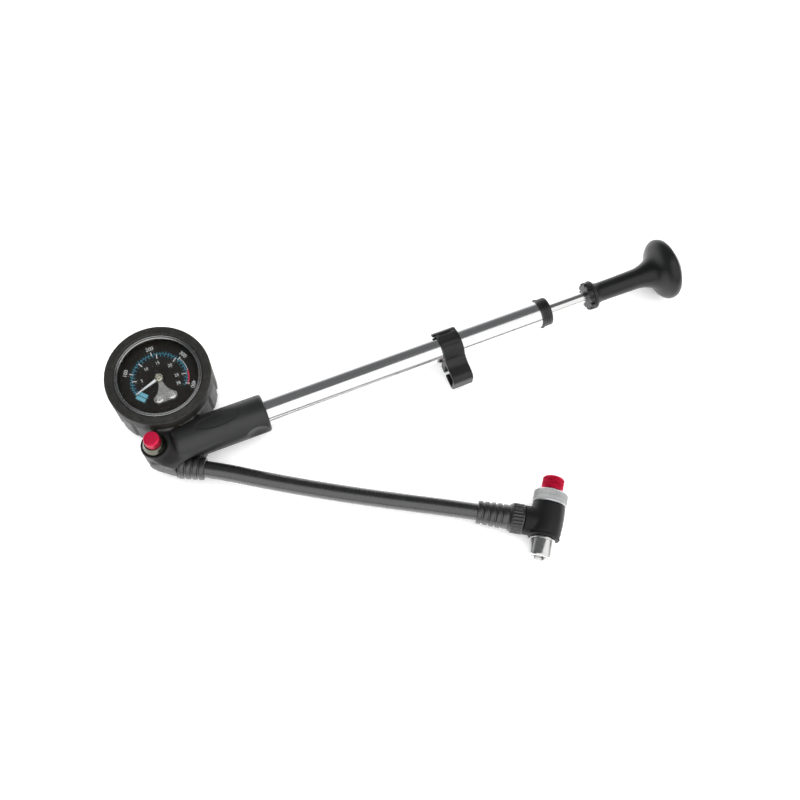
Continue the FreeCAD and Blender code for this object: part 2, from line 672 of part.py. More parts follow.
def chuck_nipple():
    """Brass nipple from the chuck's branch to the hose."""
    profile = [
        (-CHUCK_HOSE_END, 0.8), (-CHUCK_HOSE_END, HOSE_R), (-18.2, HOSE_R),
        (-18.2, 3.0), (-9.0, 3.0), (-9.0, 0.8),
    ]
    return turned(profile, BRANCH, BRANCH_DIR)


def hose_nut():
    """Flared nut with lengthwise grip ridges, between the sleeve and the chuck."""
    start, end = -17.8, -10.6
    profile = [
        (start, 3.0), (start, 6.3), (start + 1.6, 7.2), (end - 0.4, 7.3), (end, 6.9), (end, 3.0),
    ]
    nut = turned(profile, BRANCH, BRANCH_DIR)
    place = FreeCAD.Placement(BRANCH, FreeCAD.Rotation(X_AXIS, BRANCH_DIR))
    grooves = []
    for k in range(24):
        groove = box_between((start + 1.2, -0.35, 6.95), (end - 0.8, 0.35, 9))
        groove.rotate(ORIGIN, X_AXIS, 15.0 * k)
        groove.Placement = place.multiply(groove.Placement)
        grooves.append(groove)
    return nut.cut(Part.makeCompound(grooves))


# ---- chuck, places along the axis from the branch towards the knob ----
BODY_LOW, BODY_HIGH = -6.8, 10.0
NOZZLE_LOW = -16.4
THREAD_R = 3.85
THREAD_LENGTH = 7.5
SEAL_R = 4.2
SEAL_LOW = NOZZLE_LOW + THREAD_LENGTH
SEAL_HIGH = SEAL_LOW + 2.0
SHANK_R = 4.6
GROOVE_R = 3.4
RING_LOW, RING_HIGH = 10.2, 16.4
RING_R = 8.25
KNOB_BASE, KNOB_TOP = 17.3, 24.1
PIN_R = 1.2


def chuck_body():
    """Barrel-shaped elbow with a side branch for the hose."""
    profile = [
        (BODY_LOW, 0), (BODY_LOW, 7.1), (BODY_LOW + 0.7, 7.6), (BODY_HIGH - 0.9, 7.9, 0.35),
        (BODY_HIGH, 7.0, 0.3), (BODY_HIGH, 0),
    ]
    barrel = turned(profile, CHUCK, KNOB_DIR)
    branch = turned([(-10.5, 0), (-10.5, 7.0), (0, 7.0), (0, 0)], BRANCH, BRANCH_DIR)
    body = barrel.fuse(branch).cut(rod_between(12.0, BODY_LOW - 3, BODY_LOW, CHUCK, KNOB_DIR))
    body = body.cut(rod_between(SHANK_R + RUN_FIT, BODY_LOW - 1, BODY_HIGH + 1, CHUCK, KNOB_DIR))
    body = body.cut(rod_between(3.0, -11.0, -9.0, BRANCH, BRANCH_DIR))
    return body.cut(rod_between(1.0, -10.0, 0.0, BRANCH, BRANCH_DIR)).removeSplitter()


def nozzle():
    """Turned spindle: threaded mouth for the valve, long shank through the elbow."""
    top = RING_HIGH - 0.6
    profile = [
        (NOZZLE_LOW, THREAD_R), (NOZZLE_LOW, 5.4), (NOZZLE_LOW + 0.7, 6.0), (BODY_LOW - GAP, 6.0),
        (BODY_LOW - GAP, SHANK_R), (-3.9, SHANK_R), (-3.9, GROOVE_R), (-2.7, GROOVE_R), (-2.7, SHANK_R),
        (2.7, SHANK_R), (2.7, GROOVE_R), (3.9, GROOVE_R), (3.9, SHANK_R), (top, SHANK_R), (top, 2.6),
        (7.0, 2.6), (7.0, PIN_R + RUN_FIT), (SEAL_HIGH, PIN_R + RUN_FIT),
        (SEAL_HIGH, SEAL_R), (SEAL_LOW, SEAL_R), (SEAL_LOW, THREAD_R),
    ]
    spindle = turned(profile, CHUCK, KNOB_DIR)
    port = Part.makeCylinder(0.5, 12, BRANCH - BRANCH_DIR * 6, BRANCH_DIR)
    return spindle.cut(port)


def nozzle_o_rings():
    """Two rings that seal the shank in the elbow, above and below the air port."""
    rings = []
    for centre in (-3.3, 3.3):
        rings.append(ring(SHANK_R + 0.02, GROOVE_R, centre - 0.5, centre + 0.5, CHUCK, KNOB_DIR))
    return Part.makeCompound(rings)


def core_knob():
    """Red knob on a screwed stem: turning it moves the pin in the nozzle."""
    profile = [
        (8.2, 0), (8.2, 2.5), (KNOB_BASE, 2.5), (KNOB_BASE, 5.0), (KNOB_BASE + 0.5, 5.3),
        (KNOB_TOP - 1.2, 5.3), (KNOB_TOP - 0.3, 4.4, 0.25), (KNOB_TOP, 0),
    ]
    return turned(profile, CHUCK, KNOB_DIR)


def solids():
    """Every node's name and shape."""
    button = Vector(BUTTON_X, BUTTON_Y, 0)
    s = PISTON_START
    return {
        "gauge_boot": gauge_boot(),
        "gauge_case": gauge_case(),
        "bezel_ring": bezel_ring(),
        "lens": rod_between(21.4, LENS_LOW + 0.4, LENS_HIGH, ORIGIN, Z_AXIS),
        "lens_gasket": ring(21.4, 20.4, DIAL_TOP, LENS_LOW + 0.4, ORIGIN, Z_AXIS),
        "dial_plate": dial_plate(),
        "movement_plate": movement_plate(),
        "plate_screws": plate_screws(),
        "movement_base": movement_base(),
        "bourdon_tube": bourdon_tube(),
        "gauge_stem": gauge_stem(),
        "stem_gasket": ring(5.8, 4.5, -27.2, -26.2, Vector(0, 0, AXIS_Z), Y_AXIS),
        "pointer_shaft": pointer_shaft(),
        "pointer": pointer(),
        "sector_gear": sector_gear(),
        "head_body": head_body(),
        "button_collar": button_collar(),
        "bleed_button": bleed_button(),
        "bleed_pin": rod_between(1.0, 10.2, 24.0, button, Z_AXIS),
        "bleed_seal": ring(2.05, 1.0, CHAMBER_TOP - 1.35, CHAMBER_TOP - 0.05, button, Z_AXIS),
        "bleed_spring": bleed_spring(),
        "bleed_plug": rod_between(2.8, 5.0, 8.0, button, Z_AXIS).cut(box_between(
            (BUTTON_X - 2, BUTTON_Y - 0.4, 4.5), (BUTTON_X + 2, BUTTON_Y + 0.4, 6.0))),
        "valve_seat": ring(BORE_R, 1.0, VALVE_START, BARREL_START - 1.2, BARREL),
        "check_disc": rod_between(2.4, VALVE_START - 1.05, VALVE_START - 0.05, BARREL),
        "barrel_seal": ring(BARREL_R, BORE_R - 1.0, BARREL_START - 1.2, BARREL_START, BARREL),
        "barrel": ring(BARREL_R, BORE_R, BARREL_START, BARREL_END, BARREL),
        "barrel_cap": barrel_cap(),
        "rod_bush": ring(BORE_R, ROD_R + RUN_FIT, BARREL_END - 10, BARREL_END, BARREL),
        "rod_wiper": ring(4.0, ROD_R + 0.04, BARREL_END, BARREL_END + 1.2, BARREL),
        "hose_clip": hose_clip(),
        "rod": rod(),
        "piston": piston(),
        "piston_cup": piston_cup(),
        "piston_o_ring": ring(5.14, 4.0, s + 6.55, s + 7.95, BARREL),
        "piston_screw": piston_screw(),
        "bumper": ring(4.4, ROD_R, s + 10, s + 12.5, BARREL),
        "handle_collar": handle_collar(),
        "handle": handle(),
        "handle_screw": handle_screw(),
        "handle_plug": handle_plug(),
        "head_nipple": head_nipple(),
        "head_boot": head_boot(),
        "hose": hose(),
        "chuck_nipple": chuck_nipple(),
        "chuck_boot": chuck_boot(),
        "hose_nut": hose_nut(),
        "chuck_body": chuck_body(),
        "nozzle": nozzle(),
        "nozzle_seal": ring(SEAL_R, PIN_R + 0.15, SEAL_LOW, SEAL_HIGH, CHUCK, KNOB_DIR),
        "nozzle_o_rings": nozzle_o_rings(),
        "knurled_ring": turned([(RING_LOW, SHANK_R), (RING_LOW, 7.9), (RING_LOW + 0.5, RING_R),
                                (RING_HIGH - 0.7, RING_R), (RING_HIGH, 7.3), (RING_HIGH, SHANK_R)],
                               CHUCK, KNOB_DIR),
        "plunger_pin": rod_between(PIN_R, SEAL_LOW + 0.15, 8.1, CHUCK, KNOB_DIR),
        "core_knob": core_knob(),
    }


def main():
    """Write one STEP file per node."""
    os.makedirs("parts", exist_ok=True)
    for name, shape in solids().items():
        if not shape.isValid():
            print("not valid:", name)
        shape.exportStep(f"parts/{name}.step")


main()
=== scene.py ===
"""Looks of a shock suspension pump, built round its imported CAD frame.

Lengths in profiles are in millimetres and meshes are in metres. The gauge's axis is Z through
the origin, and the barrel runs along +X from the head to the palm knob.
"""

import json
import math

import bmesh
import bpy
from mathutils import Matrix, Vector


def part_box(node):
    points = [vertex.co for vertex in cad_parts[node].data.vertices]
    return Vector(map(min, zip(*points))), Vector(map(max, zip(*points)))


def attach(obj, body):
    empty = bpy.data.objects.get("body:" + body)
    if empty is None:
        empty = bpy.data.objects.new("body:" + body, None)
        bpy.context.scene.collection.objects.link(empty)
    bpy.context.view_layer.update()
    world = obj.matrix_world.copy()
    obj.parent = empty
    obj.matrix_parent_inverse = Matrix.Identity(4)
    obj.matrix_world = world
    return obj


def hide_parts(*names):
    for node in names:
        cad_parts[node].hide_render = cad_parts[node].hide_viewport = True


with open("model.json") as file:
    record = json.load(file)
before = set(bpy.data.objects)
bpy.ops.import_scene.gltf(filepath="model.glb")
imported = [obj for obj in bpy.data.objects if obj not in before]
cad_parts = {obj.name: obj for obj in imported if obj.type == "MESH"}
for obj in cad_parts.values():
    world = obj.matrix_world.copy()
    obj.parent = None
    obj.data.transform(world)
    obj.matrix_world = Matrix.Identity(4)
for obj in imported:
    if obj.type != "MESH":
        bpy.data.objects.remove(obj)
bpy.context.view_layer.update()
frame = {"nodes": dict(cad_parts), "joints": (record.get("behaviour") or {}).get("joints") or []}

MM = 0.001
NODES = frame["nodes"]
JOINTS = {joint["name"]: joint for joint in frame["joints"]}
X_AXIS, Z_AXIS = Vector((1, 0, 0)), Vector((0, 0, 1))
ORIGIN = Vector((0, 0, 0))


# ---- places taken from the frame, in millimetres ----
def middle(node):
    """Centre of a node's box."""
    low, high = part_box(node)
    return (low + high) * 0.5 / MM


def span(node, axis):
    """Lowest and highest place of a node along one of X, Y and Z (0, 1, 2)."""
    low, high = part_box(node)
    return low[axis] / MM, high[axis] / MM


def half_span(node, axis):
    """Half of a node's extent along one axis."""
    low, high = span(node, axis)
    return (high - low) / 2


BARREL_LOW, BARREL_HIGH = span("barrel", 0)
BARREL = Vector((0, middle("barrel").y, middle("barrel").z))
BARREL_R = half_span("barrel", 2)
ROD_R = half_span("rod", 2)
DIAL_TOP = span("dial_plate", 2)[1]
LENS_TOP = span("lens", 2)[1]
GAUGE_TOP = span("gauge_boot", 2)[1]
GAUGE_R = span("gauge_boot", 0)[1]
BUTTON = middle("bleed_button")
CHUCK = Vector(JOINTS["nozzle_spin"]["pos_m"]) / MM
KNOB_DIR = Vector(JOINTS["nozzle_spin"]["axis"]).normalized()
BRANCH_OFFSET = 0.8
BRANCH = CHUCK + KNOB_DIR * BRANCH_OFFSET


# ---- camera, floor and light ----
CAMERA_PLACE = Vector((0.01939, -0.21639, 0.49549))
CAMERA_RIGHT = Vector((0.92584, -0.37651, 0.03256))
CAMERA_UP = Vector((0.33993, 0.86732, 0.36359))
CAMERA_LENS = 47.658
CAMERA_SENSOR = 36
CAMERA_CLIP = 0.01
STUDIO_AIM = (0.1, -0.05, 0)
FLOOR_SIZE = 6.0
FLOOR_DROP = 0.0002
FLOOR_GLOW = 0.22
# The softbox spans these elevations in degrees, from the far horizon over to the near one.
SOFTBOX_NEAR = 95
SOFTBOX_FAR = 169
SOFTBOX_X = 0.12
SOFTBOX_REACH = 1.7
SOFTBOX_WIDTH = 4.5
SOFTBOX_RADIANCE = 1.15
FILL_PLACE = (0.1, 0.3, 2.2)
FILL_SIZE = (3.5, 3.5)
FILL_RADIANCE = 2.3
# The room's own brightness, and that of the glow low down on the +Y side. The limits are sines of
# the elevation and of the turn towards +Y.
ROOM, GLOW = 0.15, 0.95
GLOW_TOP, GLOW_FULL_Y = 0.45, 0.5
ROOM_COLOUR = (0.96, 0.98, 1.0, 1)


def make_camera():
    """Camera at the photograph's angle."""
    data = bpy.data.cameras.new("camera")
    data.lens = CAMERA_LENS
    data.sensor_width = CAMERA_SENSOR
    data.clip_start = CAMERA_CLIP
    camera = bpy.data.objects.new("camera", data)
    bpy.context.scene.collection.objects.link(camera)
    back = CAMERA_RIGHT.cross(CAMERA_UP)
    turn = Matrix((CAMERA_RIGHT, CAMERA_UP, back)).transposed()
    camera.matrix_world = Matrix.Translation(CAMERA_PLACE) @ turn.to_4x4()
    bpy.context.scene.camera = camera


def area_light(name, place, target, size, radiance, shown_in_gloss=True):
    """Rectangular light that faces a target and has a given brightness all over."""
    data = bpy.data.lights.new(name, "AREA")
    data.shape = "RECTANGLE"
    data.size, data.size_y = size
    data.energy = radiance * math.pi * size[0] * size[1]
    light = bpy.data.objects.new(name, data)
    bpy.context.scene.collection.objects.link(light)
    light.location = place
    light.rotation_euler = (Vector(target) - Vector(place)).to_track_quat("-Z", "Y").to_euler()
    light.visible_glossy = shown_in_gloss


def make_room():
    """Dim grey room that glows low down beyond the pump."""
    world = bpy.data.worlds.new("room")
    world.use_nodes = True
    tree = world.node_tree
    place = tree.nodes.new("ShaderNodeTexCoord").outputs["Generated"]
    split = tree.nodes.new("ShaderNodeSeparateXYZ")
    tree.links.new(place, split.inputs[0])
    shares = []
    for axis, start, end in (("Z", GLOW_TOP, 0.0), ("Y", 0.0, GLOW_FULL_Y)):
        ramp = tree.nodes.new("ShaderNodeMapRange")
        ramp.interpolation_type = "SMOOTHSTEP"
        ramp.inputs["From Min"].default_value = start
        ramp.inputs["From Max"].default_value = end
        tree.links.new(split.outputs[axis], ramp.inputs["Value"])
        shares.append(ramp.outputs[0])
    glow = tree.nodes.new("ShaderNodeMath")
    glow.operation = "MULTIPLY"
    tree.links.new(shares[0], glow.inputs[0])
    tree.links.new(shares[1], glow.inputs[1])
    strength = tree.nodes.new("ShaderNodeMapRange")
    strength.inputs["To Min"].default_value = ROOM
    strength.inputs["To Max"].default_value = GLOW
    tree.links.new(glow.outputs[0], strength.inputs["Value"])
    background = tree.nodes["Background"]
    background.inputs["Color"].default_value = ROOM_COLOUR
    tree.links.new(strength.outputs[0], background.inputs["Strength"])
    bpy.context.scene.world = world


def make_studio():
    """Pale floor, dim room, a large softbox on the near side and an overhead fill."""
    scene = bpy.context.scene
    scene.view_settings.view_transform = "Standard"
    make_room()
    mesh = bpy.data.meshes.new("floor")
    half = FLOOR_SIZE / 2
    corners = [(-half, -half, 0), (half, -half, 0), (half, half, 0), (-half, half, 0)]
    mesh.from_pydata(corners, [], [(0, 1, 2, 3)])
    floor = bpy.data.objects.new("floor", mesh)
    scene.collection.objects.link(floor)
    floor.location.z = -FLOOR_DROP
    paper = Finish("floor_paper", (0.93, 0.93, 0.93), 0.9)
    paper.constant(Emission_Color=(1, 1, 1, 1), Emission_Strength=FLOOR_GLOW)
    paper.grain(900, 0.00002)
    floor.data.materials.append(paper.material)
    ends = []
    for degrees in (SOFTBOX_NEAR, SOFTBOX_FAR):
        angle = math.radians(degrees)
        ends.append(Vector((SOFTBOX_X, math.cos(angle), math.sin(angle))) * SOFTBOX_REACH)
    size = (SOFTBOX_WIDTH, (ends[0] - ends[1]).length)
    area_light("softbox", (ends[0] + ends[1]) / 2, STUDIO_AIM, size, SOFTBOX_RADIANCE)
    area_light("overhead_fill", FILL_PLACE, STUDIO_AIM, FILL_SIZE, FILL_RADIANCE, False)


# ---- materials ----
# The colour sockets of a Mix node, which share their names with its other sockets.
MIX_FIRST, MIX_SECOND, MIX_RESULT = 6, 7, 2
# BOOT_WALL_DROP (mm) is how far below the boot's front the wall's painted sheen starts; BOOT_WALL_FADE (m)
# is how far it takes to fade in.
BOOT_WALL_DROP = 6.8
BOOT_WALL_FADE = 0.0012


class Finish:
    """A procedural material, built up from its shader. Its textures are in the part's own metres."""

    def __init__(self, name, colour, rough, metal=0.0):
        self.material = bpy.data.materials.new(name)
        self.material.use_nodes = True
        self.tree = self.material.node_tree
        self.shader = self.tree.nodes["Principled BSDF"]
        self.shader.inputs["Base Color"].default_value = (*colour, 1)
        self.shader.inputs["Roughness"].default_value = rough
        self.shader.inputs["Metallic"].default_value = metal
        self.colour = colour
        self.point = self.add("ShaderNodeTexCoord").outputs["Object"]
        self.normal = None

    def add(self, kind, **inputs):
        """New node with its inputs set or linked."""
        node = self.tree.nodes.new(kind)
        for key, value in inputs.items():
            self.feed(node.inputs[key.replace("_", " ")], value)
        return node

    def feed(self, socket, value):
        """Link a socket to an output, or set its constant."""
        if isinstance(value, bpy.types.NodeSocket):
            self.tree.links.new(value, socket)
        else:
            socket.default_value = value

    def constant(self, **inputs):
        """Set the shader's own sockets."""
        for key, value in inputs.items():
            self.shader.inputs[key.replace("_", " ")].default_value = value
        return self

    def noise(self, scale, detail=4.0, stretch=(1, 1, 1), point=None):
        """Noise from 0 to 1 whose features are 1/scale metres wide, times the stretch."""
        mapping = self.add("ShaderNodeMapping", Vector=point or self.point)
        mapping.inputs["Scale"].default_value = tuple(1 / s for s in stretch)
        texture = self.add("ShaderNodeTexNoise", Vector=mapping.outputs[0], Scale=scale, Detail=detail)
        return texture.outputs["Fac"]

    def math(self, operation, first, second):
        """One scalar sum."""
        node = self.tree.nodes.new("ShaderNodeMath")
        node.operation = operation
        self.feed(node.inputs[0], first)
        self.feed(node.inputs[1], second)
        return node.outputs[0]

    def along(self, centre, axis):
        """A point that varies only along an axis, for rings left by turning."""
        offset = self.add("ShaderNodeVectorMath")
        offset.operation = "DOT_PRODUCT"
        self.feed(offset.inputs[0], self.point)
        offset.inputs[1].default_value = tuple(axis)
        place = self.math("SUBTRACT", offset.outputs["Value"], Vector(centre).dot(axis) * MM)
        return self.add("ShaderNodeCombineXYZ", X=place).outputs[0]

    def between(self, factor, low, high, start=0.3, end=0.7):
        """Map a factor from start..end to low..high."""
        node = self.add("ShaderNodeMapRange", Value=factor)
        for key, value in (("From Min", start), ("From Max", end), ("To Min", low), ("To Max", high)):
            node.inputs[key].default_value = value
        return node.outputs[0]

    def tint(self, factor, other, start, end):
        """Mix the colour towards another as the factor goes from start to end."""
        mix = self.tree.nodes.new("ShaderNodeMix")
        mix.data_type = "RGBA"
        self.feed(mix.inputs["Factor"], self.between(factor, 0.0, 1.0, start, end))
        base = self.shader.inputs["Base Color"]
        before = base.links[0].from_socket if base.is_linked else (*self.colour, 1)
        self.feed(mix.inputs[MIX_FIRST], before)
        self.feed(mix.inputs[MIX_SECOND], (*other, 1))
        self.feed(base, mix.outputs[MIX_RESULT])

    def rough(self, factor, low, high):
        """Vary the roughness."""
        self.feed(self.shader.inputs["Roughness"], self.between(factor, low, high))

    def bump(self, height, depth):
        """Add relief of a depth in metres."""
        node = self.add("ShaderNodeBump", Height=height, Distance=depth, Strength=1.0)
        if self.normal:
            self.feed(node.inputs["Normal"], self.normal)
        self.normal = node.outputs[0]
        self.feed(self.shader.inputs["Normal"], self.normal)
        return self

    def grain(self, scale, depth, stretch=(1, 1, 1)):
        """Fine all-over relief."""
        return self.bump(self.noise(scale, 3.0, stretch), depth)


def rubber(name, colour, pale, rough=(0.5, 0.66), grain=3500, gloss=0.42, coat=0.0):
    """Moulded rubber with dust in its texture."""
    made = Finish(name, colour, rough[0])
    made.constant(Specular_IOR_Level=gloss, Coat_Weight=coat, Coat_Roughness=0.22)
    made.tint(made.noise(260, 6.0), pale, 0.45, 0.8)
    made.rough(made.noise(420, 3.0), *rough)
    made.grain(grain, 0.000012)
    return made


def boot_rubber():
    """Matte rubber, darker on the smooth front ring than on the wall, whose paleness is painted sheen with
    a little dust.
    """
    made = rubber("gauge_rubber", (0.013, 0.0125, 0.011), (0.022, 0.0215, 0.02))
    height = made.add("ShaderNodeSeparateXYZ", Vector=made.point).outputs["Z"]
    wall_top = (GAUGE_TOP - BOOT_WALL_DROP) * MM
    made.tint(made.noise(900, 5.0), (0.03, 0.03, 0.029), 0.5, 0.85)
    on_wall = made.between(height, 0.0, 1.0, wall_top, wall_top - BOOT_WALL_FADE)
    sheen_and_dust = made.between(made.noise(600, 5.0), 0.8, 1.0)
    # Painted sheen: the side wall is painted far paler than the front ring, standing in for the floor's
    # light on it. The noise varies this only a little, like dust.
    made.tint(made.math("MULTIPLY", on_wall, sheen_and_dust), (0.12, 0.12, 0.118), 0.0, 1.0)
    return made


def moulded(name, colour, pale, rough=(0.36, 0.5), depth=0.00001, gloss=0.5):
    """Satin moulded plastic with a fine spark texture and slow flow marks."""
    made = Finish(name, colour, rough[0]).constant(Specular_IOR_Level=gloss)
    made.tint(made.noise(90, 3.0, (3, 1, 1)), pale, 0.4, 0.75)
    made.rough(made.noise(150, 4.0), *rough)
    made.bump(made.noise(40, 2.0), 0.00004)
    return made.grain(4200, depth)


def turned_metal(name, colour, shade, centre, axis, rough=(0.14, 0.26), rings=1600, metal=1.0):
    """Metal with the fine rings that a lathe tool leaves round an axis."""
    made = Finish(name, colour, rough[0], metal)
    place = made.along(centre, axis)
    lines = made.noise(rings, 3.0, point=place)
    made.tint(made.noise(rings * 0.4, 2.0, point=place), shade, 0.35, 0.75)
    made.rough(made.noise(300, 3.0), *rough)
    return made.bump(lines, 0.000006)


def drawn_metal(name, colour, shade, rough):
    """Polished tube with faint marks drawn along X."""
    made = Finish(name, colour, rough[0], 1.0)
    streaks = made.noise(900, 3.0, (120, 1, 1))
    made.tint(streaks, shade, 0.5, 0.85)
    made.rough(made.noise(500, 4.0, (25, 1, 1)), *rough)
    made.bump(streaks, 0.0000012)
    return made.grain(60, 0.000004, (6, 1, 1))


def plain_metal(name, colour, shade, rough=(0.22, 0.38), scale=500):
    """Sheet or small fittings with a tumbled finish."""
    made = Finish(name, colour, rough[0], 1.0)
    made.tint(made.noise(scale, 5.0), shade, 0.4, 0.75)
    made.rough(made.noise(scale * 1.7, 3.0), *rough)
    return made.grain(scale * 4, 0.000006)


def print_ink(name, colour, worn):
    """Screen-printed ink with a slightly uneven coat."""
    made = Finish(name, colour, 0.45).constant(Specular_IOR_Level=0.3)
    made.tint(made.noise(2500, 3.0), worn, 0.5, 0.8)
    return made.grain(4000, 0.000004)


def clear_lens():
    """Clear moulded window with hardly any marks."""
    made = Finish("lens_clear", (0.96, 0.98, 0.98), 0.03)
    made.constant(Alpha=0.08, IOR=1.45, Transmission_Weight=1.0)
    made.rough(made.noise(120, 4.0), 0.02, 0.07)
    made.grain(80, 0.000002)
    made.material.surface_render_method = "BLENDED"
    return made


def make_materials():
    """Every finish by name."""
    steel, dark_steel = (0.62, 0.62, 0.61), (0.36, 0.36, 0.35)
    brass, dark_brass = (0.66, 0.52, 0.26), (0.42, 0.30, 0.12)
    red, deep_red = (0.62, 0.012, 0.06), (0.36, 0.004, 0.025)
    black, soot = (0.005, 0.005, 0.005), (0.011, 0.011, 0.011)
    hub, dark_hub = (0.62, 0.6, 0.5), (0.42, 0.4, 0.3)
    olive, dark_olive = (0.15, 0.15, 0.12), (0.09, 0.09, 0.07)
    tyre, pale_tyre = (0.004, 0.004, 0.004), (0.008, 0.008, 0.008)
    head, pale_head = (0.008, 0.0083, 0.0083), (0.014, 0.0144, 0.014)
    grip, pale_grip = (0.003, 0.0031, 0.0031), (0.006, 0.0062, 0.0062)
    elbow, pale_elbow = (0.0045, 0.0045, 0.0045), (0.008, 0.008, 0.008)
    paint, pale_paint = (0.004, 0.0033, 0.0025), (0.007, 0.0055, 0.004)
    bright, plate = (0.5, 0.51, 0.52), (0.62, 0.62, 0.6)
    gauge, chuck = (ORIGIN, Z_AXIS), (CHUCK, KNOB_DIR)
    made = {
        "boot": boot_rubber(),
        "sleeve": rubber("sleeve_rubber", black, soot, (0.3, 0.4), 3500, 1.0, 0.4),
        "hose": rubber("hose_rubber", tyre, pale_tyre, (0.24, 0.33), 2500, 1.0, 0.7),
        "seal": rubber("seal_rubber", (0.015, 0.015, 0.015), (0.03, 0.03, 0.03)),
        "head": moulded("head_plastic", head, pale_head, (0.38, 0.48), gloss=0.58),
        "handle": moulded("handle_plastic", grip, pale_grip, (0.28, 0.38), gloss=0.38),
        "cap": moulded("cap_plastic", black, soot, (0.3, 0.42)),
        "clip": moulded("clip_plastic", black, soot, (0.32, 0.46), 0.000016, 0.4),
        "nut": moulded("nut_plastic", black, soot, (0.24, 0.34), gloss=0.9),
        "chuck": moulded("chuck_coating", elbow, pale_elbow, (0.36, 0.5), 0.000006, 0.25),
        "bush": moulded("bush_acetal", (0.8, 0.79, 0.74), (0.7, 0.69, 0.64)),
        "dial": rubber("dial_paint", paint, pale_paint, (0.5, 0.62), 1500, 0.3),
        "case": plain_metal("case_steel", steel, dark_steel),
        "screw": turned_metal("screw_steel", (0.74, 0.74, 0.73), steel, *gauge, (0.15, 0.3), 900),
        "bezel": turned_metal("bezel_metal", (0.55, 0.55, 0.55), dark_steel, *gauge, (0.16, 0.3)),
        "plate": plain_metal("fan_plate_metal", plate, (0.3, 0.3, 0.29), (0.34, 0.5), 1500),
        "brass": turned_metal("turned_brass", brass, dark_brass, *gauge, (0.2, 0.34)),
        "hub": turned_metal("hub_metal", hub, dark_hub, *gauge, (0.2, 0.3)),
        "pointer": print_ink("pointer_paint", (0.5, 0.52, 0.53), (0.4, 0.42, 0.44)),
        "white_ink": print_ink("white_ink", (0.5, 0.52, 0.52), (0.36, 0.38, 0.38)),
        "blue_ink": print_ink("blue_ink", (0.03, 0.17, 0.24), (0.018, 0.11, 0.16)),
        "pale_blue_ink": print_ink("pale_blue_ink", (0.1, 0.27, 0.34), (0.06, 0.19, 0.26)),
        "red_ink": print_ink("red_ink", (0.45, 0.02, 0.05), (0.3, 0.015, 0.04)),
        "collar": turned_metal("collar_metal", olive, dark_olive, BUTTON, Z_AXIS, (0.16, 0.26)),
        "button": turned_metal("button_red", red, deep_red, BUTTON, Z_AXIS, (0.26, 0.36), 1400, metal=0.6),
        "knob": turned_metal("knob_red", red, deep_red, *chuck, (0.26, 0.38), 1400, metal=0.75),
        "ring": turned_metal("ring_metal", bright, dark_steel, *chuck, (0.24, 0.38), metal=0.55),
        "nozzle": turned_metal("nozzle_metal", (0.66, 0.66, 0.65), steel, *chuck, (0.16, 0.28)),
        "barrel": drawn_metal("barrel_alloy", (0.82, 0.82, 0.82), (0.7, 0.7, 0.69), (0.13, 0.2)),
        "rod": drawn_metal("rod_alloy", (0.74, 0.74, 0.73), (0.66, 0.66, 0.65), (0.16, 0.26)),
        "spring": plain_metal("spring_wire", (0.5, 0.5, 0.51), dark_steel),
        "lens": clear_lens(),
    }
    return {name: finish.material for name, finish in made.items()}


# ---- mesh helpers ----
MELT_ROUNDS = 80


def soften(corners, steps):
    """Outline whose corners, given as (place, radius, fillet), are rounded off."""
    points = []
    for i, corner in enumerate(corners):
        here = Vector(corner[:2])
        fillet = corner[2] if len(corner) == 3 else 0
        if not fillet or i in (0, len(corners) - 1):
            points.append(here)
            continue
        back = Vector(corners[i - 1][:2]) - here
        ahead = Vector(corners[i + 1][:2]) - here
        reach = min(fillet, back.length * 0.49, ahead.length * 0.49)
        start, end = here + back.normalized() * reach, here + ahead.normalized() * reach
        for k in range(steps + 1):
            t = k / steps
            points.append(start * (1 - t) ** 2 + here * (2 * t * (1 - t)) + end * t**2)
    return points


def smooth_step(value, low, high):
    """0 below low, 1 above high, and smooth between them."""
    t = min(max((value - low) / (high - low), 0.0), 1.0)
    return t * t * (3 - 2 * t)


def new_object(name, mesh, material, body, sharp=35, replaces=()):
    """Object in the row frame with a finish, riding on a body; edges over sharp degrees stay crisp."""
    made = bpy.data.objects.new(name, mesh)
    bpy.context.scene.collection.objects.link(made)
    mesh.materials.clear()
    mesh.materials.append(material)
    mesh.polygons.foreach_set("use_smooth", [True] * len(mesh.polygons))
    mesh.set_sharp_from_angle(angle=math.radians(sharp))
    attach(made, body)
    if replaces:
        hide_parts(*replaces)
    return made


def place_on(centre, axis):
    """Matrix that takes a shape turned about Z to an axis through a centre, in metres."""
    turn = Vector(axis).to_track_quat("Z", "X").to_matrix().to_4x4()
    return Matrix.Translation(Vector(centre) * MM) @ turn @ Matrix.Scale(MM, 4)


def turned_mesh(name, profile, centre, axis, steps, shift=None, closed=False):
    """Mesh turned from points of (place along the axis, radius).

    shift(place, radius, angle) is how far the surface moves out there.
    """
    made = bmesh.new()
    rings = []
    for place, radius in profile:
        if radius < 1e-6:
            rings.append([made.verts.new((0, 0, place))])
            continue
        ring = []
        for k in range(steps):
            angle = 2 * math.pi * k / steps
            r = radius + (shift(place, radius, angle) if shift else 0.0)
            ring.append(made.verts.new((r * math.cos(angle), r * math.sin(angle), place)))
        rings.append(ring)
    pairs = list(zip(rings, rings[1:]))
    if closed:
        pairs.append((rings[-1], rings[0]))
    for first, second in pairs:
        for k in range(steps):
            n = (k + 1) % steps
            corners = [first[k % len(first)], first[n % len(first)]]
            corners += [second[n % len(second)], second[k % len(second)]]
            corners = [v for i, v in enumerate(corners) if v not in corners[:i]]
            if len(corners) > 2:
                made.faces.new(corners)
    bmesh.ops.recalc_face_normals(made, faces=made.faces)
    made.transform(place_on(centre, axis))
    mesh = bpy.data.meshes.new(name)
    made.to_mesh(mesh)
    made.free()
    return mesh


